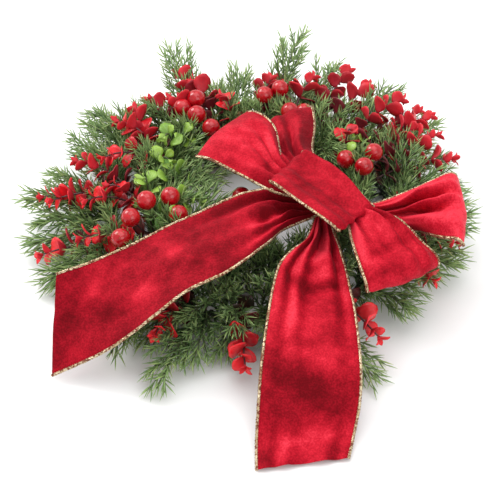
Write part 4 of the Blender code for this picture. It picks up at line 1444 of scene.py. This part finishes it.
def grown(name, runs, stem_finish, shape, places, finish):
    """One piece: stems, and the copies that grow on them."""
    stems = tubes(name + "_stems", runs, stem_finish)
    piece = copies(name, shape, places, finish)
    alone(stems, piece)
    bpy.ops.object.join()
    return piece


print("copies ready")

# %% [markdown]
# ## Stems
#
# A stem rises from the ring where it is tied and bends over towards its tip. The stems that stand for
# solids have the same tips as those, so that they lie where the solids lie. The foot of every stem, except
# for the short filling sprays, is wound twice round its ring, as the hand that made the wreath did it.

# %% Helpers for stems
STEM_START_HEIGHT = 2.55
FOOT_TURNS = 2
FOOT_STEPS = 16
FOOT_DEGREES = 4
FOOT_RADIUS = 0.6
FOOT_LOWEST = 0.65
BEND_RADIUS = 0.8


def ring_top(ring, degrees):
    """The place on a ring where a stem leaves it."""
    place = round_the_ring(RING_RADIUS[ring], degrees)
    place[2] = STEM_START_HEIGHT
    return place


def stem_line(root, tip, tip_shoot, count=60):
    """A line straight up from the frame and over towards a tip, less the room of its last shoot."""
    root, tip = np.array(root, float), np.array(tip, float)
    reach = tip - root
    tip = root + reach * (1 - 0.9 * tip_shoot / np.linalg.norm(reach))
    reach = tip - root
    rise = np.array((0, 0, max(10.0, tip[2] * 0.55)))
    before_tip = tip - np.array((reach[0], reach[1], 0)) * 0.45
    before_tip += np.array((0, 0, max(4.0, 10 - tip[2] * 0.25)))
    t = np.linspace(0, 1, count)[:, None]
    near = root * (1 - t) ** 3 + (root + rise) * 3 * t * (1 - t) ** 2
    return evenly(near + before_tip * 3 * t**2 * (1 - t) + tip * t**3, count)


def foot_line(ring, degrees):
    """The end of a stem, wound twice round its ring."""
    points = []
    for step in range(FOOT_STEPS + 1):
        share = step / FOOT_STEPS
        middle = round_the_ring(RING_RADIUS[ring], degrees - FOOT_DEGREES * (1 - share))
        out = unit(middle * (1, 1, 0))
        a = math.tau * FOOT_TURNS * share
        wound = middle + (out * math.sin(a) + np.array((0, 0, math.cos(a)))) * (WIRE_RADIUS + FOOT_RADIUS)
        points.append((wound[0], wound[1], max(wound[2], FOOT_LOWEST)))
    return np.array(points)


def whole_stem(ring, degrees, line, low, high):
    """A stem with its wound foot, and its radius at every point."""
    foot = foot_line(ring, degrees)
    radius = np.concatenate([np.full(len(foot), FOOT_RADIUS), np.linspace(low, high, len(line))])
    radius[len(foot)] = BEND_RADIUS
    return np.concatenate([foot, line]), radius


print("stem helpers ready")

# %% [markdown]
# ## Needle sprays
#
# A spray is a plume: twigs fork off left and right of a core, and needles stand round each twig like the
# hairs of a bottle brush, leaning forward. Each needle is turned on from the last by the golden angle, as
# leaves are on a real twig, so that no rows show. Needles that would poke through the ribbon are left off.

# %% Helper: needles round a twig
GOLDEN_TURN = 2.4


def needles_along(line, first, spacing, size, age, draw):
    """Places for the needles round a twig, each turned on from the last, where they have room."""
    total = length_of(line)
    sides, ups = frames_along(line)
    forward = unit_rows(np.gradient(line, axis=0))
    places = []
    turn = draw.uniform(0, math.tau)
    distance = first
    while distance < total:
        share = distance / total
        k = min(int(share * (len(line) - 1) + 0.5), len(line) - 1)
        lean = math.radians(draw.uniform(24, 46)) * (1 - 0.5 * share**4)
        out = sides[k] * math.cos(turn) + ups[k] * math.sin(turn)
        heading = unit(forward[k] * math.cos(lean) + out * math.sin(lean))
        reach = size * draw.uniform(0.75, 1.15) * (1 - 0.3 * share**3)
        if free([line[k] + heading * reach * 0.2, line[k] + heading * reach]):
            across = unit(np.cross(heading, forward[k] + 0.01))
            basis = [across * reach, heading * reach, np.cross(across, heading) * reach]
            places.append((line[k], basis, age[0] + (age[1] - age[0]) * share, draw.random()))
        turn += GOLDEN_TURN + draw.uniform(-0.35, 0.35)
        distance += spacing * draw.uniform(0.8, 1.2)
    return places


print("needles ready")

# %% Helpers: twigs and whole sprays
TIP_ROOM = 7
TRIES = 4


def twig_line(start, along, lean, roll, reach):
    """A twig that leans off its core and bends back along it."""
    upright = unit(np.array((0, 0, 1.0)) - along * along[2])
    heading = turned(turned(along, upright, lean), along, roll)
    t = np.linspace(0, 1, 6)[:, None]
    return start + (heading * (1 - 0.3 * t) + along * 0.3 * t) * reach * t


def spray(line, draw, bare, twig_step, twig_reach, spacing, needle_size):
    """The twigs and the needle places of one spray along its core, past its bare share."""
    total = length_of(line)
    forward = unit_rows(np.gradient(line, axis=0))
    tone = draw.uniform(-0.15, 0.15)
    twigs = []
    places = needles_along(line, total * bare, spacing * 1.4, needle_size, (0.35 + tone, 1.0 + tone), draw)
    distance = total * bare
    side = 1
    while distance < total - TIP_ROOM:
        k = int(distance / total * (len(line) - 1))
        reach = min(twig_reach, (total - distance) * 0.62 + TIP_ROOM) * draw.uniform(0.85, 1.12)
        for attempt in range(TRIES):
            lean = side * math.radians(draw.uniform(26, 44))
            roll = math.radians(draw.uniform(-65, 65))
            twig = twig_line(line[k], forward[k], lean, roll, reach * (1 - 0.15 * attempt))
            if free(twig[1::2]):
                twigs.append((twig, np.linspace(0.55, 0.35, len(twig))))
                share = distance / total
                age = (0.1 + 0.5 * share + tone, 0.55 + 0.45 * share + tone)
                places += needles_along(twig, 1.5, spacing, needle_size * 0.92, age, draw)
                break
        side = -side
        distance += twig_step * draw.uniform(0.8, 1.2)
    return twigs, places


def long_spray(name, piece_name, ring, degrees, tip, count, habit):
    """One long spray, with draws of its own that its name seeds."""
    draw = random.Random(f"{SEED} {name}")
    core = stem_line(ring_top(ring, degrees), tip, 12.5, count)
    twigs, places = spray(core, draw, **habit)
    stem = whole_stem(ring, degrees, core, 1.2, 0.5)
    return grown(piece_name, [stem, *twigs], stem_green, NEEDLE, places, needle_green)


print("spray helpers ready")

# %% Grow the sprays of the frame
FRAME_HABIT = {"bare": 0.14, "twig_step": 4.6, "twig_reach": 27, "spacing": 1.45, "needle_size": 13.0}
# Where each spray leaves its ring, in degrees, and its tip.
OUTER_SPRAYS = {
    "left_upper": (176, (-175, -8, 30)),
    "left_lower": (193, (-170, -44, 16)),
    "left_back": (156, (-144, 56, 28)),
    "back_left_low": (139, (-136, 110, 32)),
    "back_left_tall": (117, (-69, 172, 54)),
    "back_middle": (98, (-10, 158, 40)),
    "back_tall": (81, (40, 184, 60)),
    "back_right": (66, (68, 166, 42)),
    "right_back_low": (48, (116, 140, 28)),
    "right_back": (33, (152, 100, 28)),
    "right_middle": (5, (148, 6, 42)),
    "right_front": (-15, (163, -30, 34)),
    "right_low": (-31, (153, -70, 20)),
    "front_right": (-49, (114, -124, 22)),
    "front_low": (-72, (84, -178, 8)),
    "front_left": (-109, (-66, -188, 10)),
    "front_left_inner": (-122, (-94, -142, 14)),
    "left_front": (-151, (-156, -84, 12)),
}
INNER_SPRAYS = {
    "inner_left": (168, (-82, 32, 56)),
    "inner_hole": (-170, (-46, -20, 34)),
    "inner_back": (40, (72, 66, 52)),
    "inner_front": (-104, (-22, -116, 44)),
}
spray_triangles = []
for ring, table in (("outer", OUTER_SPRAYS), ("inner", INNER_SPRAYS)):
    for side, (degrees, tip) in table.items():
        node = "needle_spray_" + side
        piece = long_spray(node, node + "_dressed", ring, degrees, tip, 60, FRAME_HABIT)
        keep(piece, "needle_green", node)
        spray_triangles.append(triangles(piece))
print(len(spray_triangles), "sprays with", sum(spray_triangles), "triangles")

# %% Grow a few more long sprays
MORE_HABIT = {"bare": 0.14, "twig_step": 4.8, "twig_reach": 26, "spacing": 1.5, "needle_size": 13.0}
MORE_SPRAYS = {
    "hole_left": ("inner", 170, (-12, -17, 54)),
    "hole_low": ("inner", -140, (-14, -27, 56)),
    "hole_low_left": ("inner", -160, (-28, -29, 55)),
    "hole_near": ("inner", -174, (-22, -16, 55)),
    "under_knot": ("inner", -94, (14, -44, 46)),
    "left_back_inner": ("inner", 150, (-36, 40, 50)),
    "back_inner": ("inner", 112, (-14, 56, 48)),
    "back_inner_right": ("inner", 60, (61, 5, 52)),
    "left_front_low": ("outer", -148, (-150, -80, 18)),
    "front_left_middle": ("outer", -106, (-41, -169, 16)),
    "front_middle": ("outer", -82, (18, -168, 10)),
    "right_low_far": ("outer", -30, (152, -58, 24)),
    "front_left_far": ("outer", -98, (-24, -160, 10)),
    "right_high": ("outer", 20, (137, 49, 46)),
    "left_back_upper": ("outer", 148, (-136, 94, 34)),
    "tail_edge_low": ("outer", -132, (-97, -158, 12)),
    "tail_edge_high": ("outer", -120, (-76, -150, 12)),
    "left_between": ("outer", 184, (-167, -26, 22)),
    "right_back_high": ("outer", 45, (117, 124, 50)),
    "right_far": ("outer", -8, (163, -17, 36)),
}
for side, (ring, degrees, tip) in MORE_SPRAYS.items():
    name = "more_spray_" + side
    keep(long_spray(name, name, ring, degrees, tip, 40, MORE_HABIT), "needle_green")
print(len(MORE_SPRAYS), "more sprays")

# %% [markdown]
# ## Filling sprays
#
# The real ring is packed: between the long sprays there are many short ones that hide the wire. They stand
# close together round both rings. Some lean into the middle or lie low outside the ring, and others stand
# up between them as high as the bow leaves them room. All those of a quarter of the ring are one piece.

# %% Grow the filling sprays
FILLER_HABIT = {"bare": 0.1, "twig_step": 4.8, "twig_reach": 22, "spacing": 1.3, "needle_size": 11.0}
# The ring, the number of sprays, how far they lean out, how far they slip sideways, and the heights to try.
FILLER_ROUNDS = (
    ("inner", 40, (-27, -15), 14, (26, 17, 11)),
    ("inner", 44, (-6, 16), 22, (48, 36, 25, 15)),
    ("outer", 44, (2, 24), 22, (42, 31, 21, 13)),
    ("outer", 44, (36, 54), 18, (24, 15, 9)),
)
filler_runs = {}
filler_places = {}
for ring, count, leans, slip, heights in FILLER_ROUNDS:
    for k in range(count):
        draw = random.Random(f"{SEED} {ring} {leans} {k}")
        degrees = 360 * (k + draw.uniform(-0.35, 0.35)) / count
        root = ring_top(ring, degrees)
        out = unit(root * (1, 1, 0))
        way = np.array((-out[1], out[0], 0)) * draw.uniform(-slip, slip)
        lean = out * draw.uniform(*leans)
        for height in heights:
            height *= draw.uniform(0.85, 1.1)
            core = stem_line(root, root + lean + way + (0, 0, height), 3, 18)
            if free(core[3::3]) and free([core[-1] + (0, 0, 2), core[-1] + (0, 0, 7)]):
                break
        else:
            continue
        twigs, places = spray(core, draw, **FILLER_HABIT)
        quarter = ("right_back", "left_back", "left_front", "right_front")[int(degrees % 360 // 90)]
        radius = np.linspace(1.0, 0.5, len(core))
        filler_runs.setdefault(quarter, []).extend([(core, radius), *twigs])
        filler_places.setdefault(quarter, []).extend(places)
for quarter, places in filler_places.items():
    piece = grown("filler_sprays_" + quarter, filler_runs[quarter], stem_green, NEEDLE, places, needle_green)
    keep(piece, "needle_green")
    print(piece.name, "has", len(places), "needles and", triangles(piece), "triangles")

# %% [markdown]
# ## Red and green leaf stems
#
# The red stems are like eucalyptus: round leaves in opposite pairs, each pair turned a quarter from the last.
# They are bright red at the tip and dark green at the foot, and the very tip has small pointed leaves. The
# light green sprigs are built the same way with spoon shaped leaves.

# %% Helpers: leaves on a stem


def leaf_place(start, along, out, size, width, forward_share, age, draw):
    """Where one leaf grows from its stem, facing the stem's tip, or None where it has no room."""
    heading = unit(along * forward_share + out)
    heading = turned(heading, along, math.radians(draw.uniform(-14, 14)))
    across = unit(np.cross(heading, along))
    across = turned(across, heading, math.radians(draw.uniform(-25, 25)))
    normal = np.cross(across, heading)
    foot, tip = start + heading * size * 0.25, start + heading * size
    for edge in (-0.4, 0, 0.4):
        if not free([foot, start + heading * size * 0.6 + across * size * edge, tip]):
            return None
    basis = [across * size * width, heading * size, normal * size]
    return (start, basis, age, draw.random())


def leafy(line, draw, leaf_length, spacing, bare, tip_leaves, redness=0.0):
    """Places for opposite pairs of leaves from the tip back to the bare foot."""
    total = length_of(line)
    sides, ups = frames_along(line)
    forward = unit_rows(np.gradient(line, axis=0))
    places = []
    pair = 0
    distance = total - 0.6 * spacing
    while distance > total * bare:
        share = distance / total
        k = int(share * (len(line) - 1))
        turn = pair * math.pi / 2 + draw.uniform(-0.25, 0.25)
        for half in (0, math.pi):
            out = sides[k] * math.cos(turn + half) + ups[k] * math.sin(turn + half)
            size = leaf_length * draw.uniform(0.82, 1.12) * (0.72 if pair == 0 else 1.0)
            age = 1.02 - 0.17 * pair + redness
            found = leaf_place(line[k], forward[k], out, size, 1.0, 0.75 if pair < 2 else 0.45, age, draw)
            if found:
                places.append(found)
        pair += 1
        distance -= spacing * draw.uniform(0.88, 1.12)
    for k in range(tip_leaves):
        turn = math.tau * k / tip_leaves
        out = sides[-1] * math.cos(turn) + ups[-1] * math.sin(turn)
        size = leaf_length * draw.uniform(0.45, 0.62)
        found = leaf_place(line[-1], forward[-1], out, size, 0.55, 1.3, 1.1 + redness, draw)
        if found:
            places.append(found)
    return places


def leaf_stem(name, degrees, tip, shape, leaf_length, spacing, bare, tip_leaves, stem, leaf, redness=0.0):
    """One leafy stem that is wound on the inner ring, with draws of its own that its name seeds."""
    draw = random.Random(f"{SEED} {name}")
    core = stem_line(ring_top("inner", degrees), tip, leaf_length * 0.7)
    places = leafy(core, draw, leaf_length, spacing, bare, tip_leaves, redness)
    runs = [whole_stem("inner", degrees, core, 1.0, 0.55)]
    return grown(name + "_dressed", runs, stem, shape, places, leaf)


RED_LEAVES = {"shape": ROUND_LEAF, "tip_leaves": 4, "stem": stem_brown, "leaf": leaf_red}
GREEN_LEAVES = {"shape": SPOON_LEAF, "tip_leaves": 3, "stem": stem_green, "leaf": leaf_green}
print("leaf stems ready")

# %% Grow the red leaf stems
RED_HABIT = {"leaf_length": 14.0, "spacing": 8.8, "bare": 0.3, **RED_LEAVES}
# Where each stem leaves the ring, in degrees, its tip, and how much redder than the others it is.
RED_STEMS = {
    "left_tall": (184, (-133, 20, 50), 0.2),
    "left_low": (-157, (-154, -64, 24), 0.1),
    "left_front": (-143, (-124, -66, 44), 0.15),
    "left_back": (147, (-105, 60, 58), 0.3),
    "back_left": (108, (-50, 126, 50), 0.05),
    "back_middle": (89, (14, 122, 56), -0.1),
    "back_right": (73, (48, 126, 54), 0.1),
    "right_back": (56, (94, 130, 42), 0.15),
    "right_middle": (24, (126, 62, 50), 0.1),
    "right_tall": (14, (152, 30, 42), 0.1),
    "front_right": (-40, (125, -100, 32), 0.25),
    "front_low": (-65, (84, -152, 26), 0.2),
    "front_left": (-116, (-67, -150, 26), 0.1),
    "front_middle": (-98, (-6, -172, 18), 0.25),
}
for side, (degrees, tip, redness) in RED_STEMS.items():
    node = "red_leaf_stem_" + side
    keep(leaf_stem(node, degrees, tip, redness=redness, **RED_HABIT), "leaf_red", node)
print("red leaf stems:", len(RED_STEMS))

# %% Grow more red stems between them
MORE_RED_HABIT = {"leaf_length": 13.0, "spacing": 8.6, "bare": 0.34, **RED_LEAVES}
MORE_RED_STEMS = {
    "left_outer": (172, (-149, -21, 40), 0.25),
    "left_high": (150, (-112, 12, 56), 0.1),
    "left_inner": (162, (-92, 84, 52), 0.2),
    "back_left_low": (126, (-84, 112, 42), -0.05),
    "back_hidden": (100, (-24, 89, 62), -0.1),
    "back_outer": (84, (24, 140, 42), -0.15),
    "right_inner": (30, (71, 42, 64), -0.15),
    "right_outer": (36, (132, 96, 40), 0.05),
    "right_low": (-8, (140, -20, 34), 0.05),
    "right_front_low": (-26, (146, -56, 30), 0.15),
    "front_hidden": (-84, (36, -176, 14), 0.1),
    "front_left_low": (-128, (-104, -128, 24), 0.1),
    "left_far": (180, (-158, -8, 34), 0.1),
    "left_middle": (190, (-122, -30, 50), 0.3),
    "left_by_berries": (200, (-106, -16, 56), 0.2),
    "back_left_middle": (115, (-66, 94, 56), 0.1),
    "back_left_top": (112, (-62, 146, 44), 0.25),
    "right_cluster_middle": (40, (116, 92, 54), 0.35),
    "right_cluster_low": (28, (138, 78, 48), 0.3),
    "right_cluster_near": (18, (140, 48, 52), 0.25),
    "back_right_top": (62, (78, 150, 42), 0.15),
    "front_left_middle": (-134, (-92, -106, 38), 0.0),
    "front_left_inner": (-118, (-60, -118, 36), -0.05),
}
for side, (degrees, tip, redness) in MORE_RED_STEMS.items():
    keep(leaf_stem("more_red_stem_" + side, degrees, tip, redness=redness, **MORE_RED_HABIT), "leaf_red")
print("more red stems:", len(MORE_RED_STEMS))

# %% Grow the light green sprigs
GREEN_HABIT = {"leaf_length": 14.5, "spacing": 8.8, "bare": 0.42, **GREEN_LEAVES}
MORE_GREEN_HABIT = {"leaf_length": 13.5, "spacing": 8.5, "bare": 0.45, **GREEN_LEAVES}
GREEN_SPRIGS = {
    "left": (-168, (-77, -14, 62)),
    "back_left": (134, (-52, 46, 56)),
    "right": (20, (66, 20, 58)),
}
MORE_GREEN_SPRIGS = {
    "left_low": (-160, (-50, -40, 50)),
    "hole": (-156, (-44, -64, 54)),
    "back": (118, (-36, 58, 40)),
    "right_back": (34, (84, 46, 50)),
    "left_high": (164, (-60, 8, 60)),
    "left_hole": (172, (-38, -8, 52)),
    "hole_low": (-164, (-34, -36, 54)),
    "back_left_high": (140, (-66, 34, 62)),
}
for side, (degrees, tip) in GREEN_SPRIGS.items():
    node = "green_leaf_sprig_" + side
    keep(leaf_stem(node, degrees, tip, **GREEN_HABIT), "leaf_green", node)
for side, (degrees, tip) in MORE_GREEN_SPRIGS.items():
    keep(leaf_stem("more_green_sprig_" + side, degrees, tip, **MORE_GREEN_HABIT), "leaf_green")
print("light green sprigs:", len(GREEN_SPRIGS) + len(MORE_GREEN_SPRIGS))

# %% [markdown]
# ## Berries
#
# Glossy foam berries sit on short wired stalks in small bunches. One berry is a ball with a dimple where its
# stalk goes in, and each copy is turned so that the dimple meets its own stalk.

# %% Shape one berry
BERRY_DIAMETER = 13.5
# Below each reach the ball is pushed in by the depth beside it. The top is flattened a little too.
DIMPLE_STEPS = ((0.47, 0.012), (0.49, 0.02), (0.499, 0.02))
bpy.ops.object.select_all(action="DESELECT")
bpy.ops.mesh.primitive_uv_sphere_add(segments=28, ring_count=18, radius=0.5)
berry = bpy.context.object
bpy.ops.object.mode_set(mode="EDIT")
for reach, depth in DIMPLE_STEPS:
    select_where(berry, lambda place: place.z < -reach)
    bpy.ops.transform.translate(value=(0, 0, depth))
select_where(berry, lambda place: place.z > 0.495)
bpy.ops.transform.translate(value=(0, 0, -0.012))
bpy.ops.object.mode_set(mode="OBJECT")
BERRY = take_shape(berry, long_mark=False)
print("a berry has", len(BERRY["faces"]), "faces")

# %% Hang the berry bunches
TRUNK_RISE = 12
FORK_HEIGHT = 26
STALK_POINTS = 14


def hang_berries(name, degrees, centres):
    """One bunch: a short trunk on the ring that forks into a stalk for each berry."""
    draw = random.Random(f"{SEED} {name}")
    root = ring_top("inner", degrees)
    fork = (root + np.mean(centres, axis=0)) / 2
    fork[2] = FORK_HEIGHT
    trunk = smooth_line([root, (root[0], root[1], TRUNK_RISE), fork], 20)
    runs = [whole_stem("inner", degrees, trunk, 0.9, 0.8)]
    places = []
    for centre in centres:
        centre = np.array(centre, float)
        elbow = (fork + centre) / 2 - (0, 0, 4)
        stalk = smooth_line([fork, elbow, centre], STALK_POINTS)
        runs.append((stalk, np.linspace(0.6, 0.7, STALK_POINTS)))
        up = unit(stalk[-1] - stalk[-3])
        side_way = unit(np.cross(up, (0.3, 0.8, 0.1)))
        basis = np.array([side_way, np.cross(up, side_way), up]) * BERRY_DIAMETER * draw.uniform(0.97, 1.03)
        places.append((centre, basis, draw.random(), draw.random()))
    print(name, "has", len(places), "berries")
    return grown(name + "_dressed", runs, stem_brown, BERRY, places, berry_red)


# Where each trunk leaves the ring, in degrees, and the middle of each berry.
BERRY_BUNCHES = {
    "left": (-154, ((-74, -45, 57), (-58, -38, 55), (-52, -52, 50), (-84, -60, 54), (-90, -75, 48))),
    "back_left": (124, ((-43, 66, 52), (-32, 56, 47))),
    "back": (70, ((27, 73, 50), (38, 78, 46))),
    "right": (6, ((86, 15, 54), (78, -2, 54))),
}
MORE_BERRIES = {
    "back_left_high": (130, ((-54, 78, 50), (-44, 84, 54))),
    "back_high": (82, ((8, 92, 52), (20, 98, 54))),
    "by_left_tail": (-108, ((-9, -30, 49),)),
    "right_inner": (26, ((66, 12, 50),)),
}
for side, (degrees, centres) in BERRY_BUNCHES.items():
    keep(hang_berries("berries_" + side, degrees, centres), "berry_red", "berries_" + side)
for side, (degrees, centres) in MORE_BERRIES.items():
    keep(hang_berries("more_berries_" + side, degrees, centres), "berry_red")

# %% Count the triangles that were added
dressed = [piece for piece in bpy.data.objects if piece.type == "MESH" and piece.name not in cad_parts]
print("triangles added:", sum(triangles(piece) for piece in dressed))
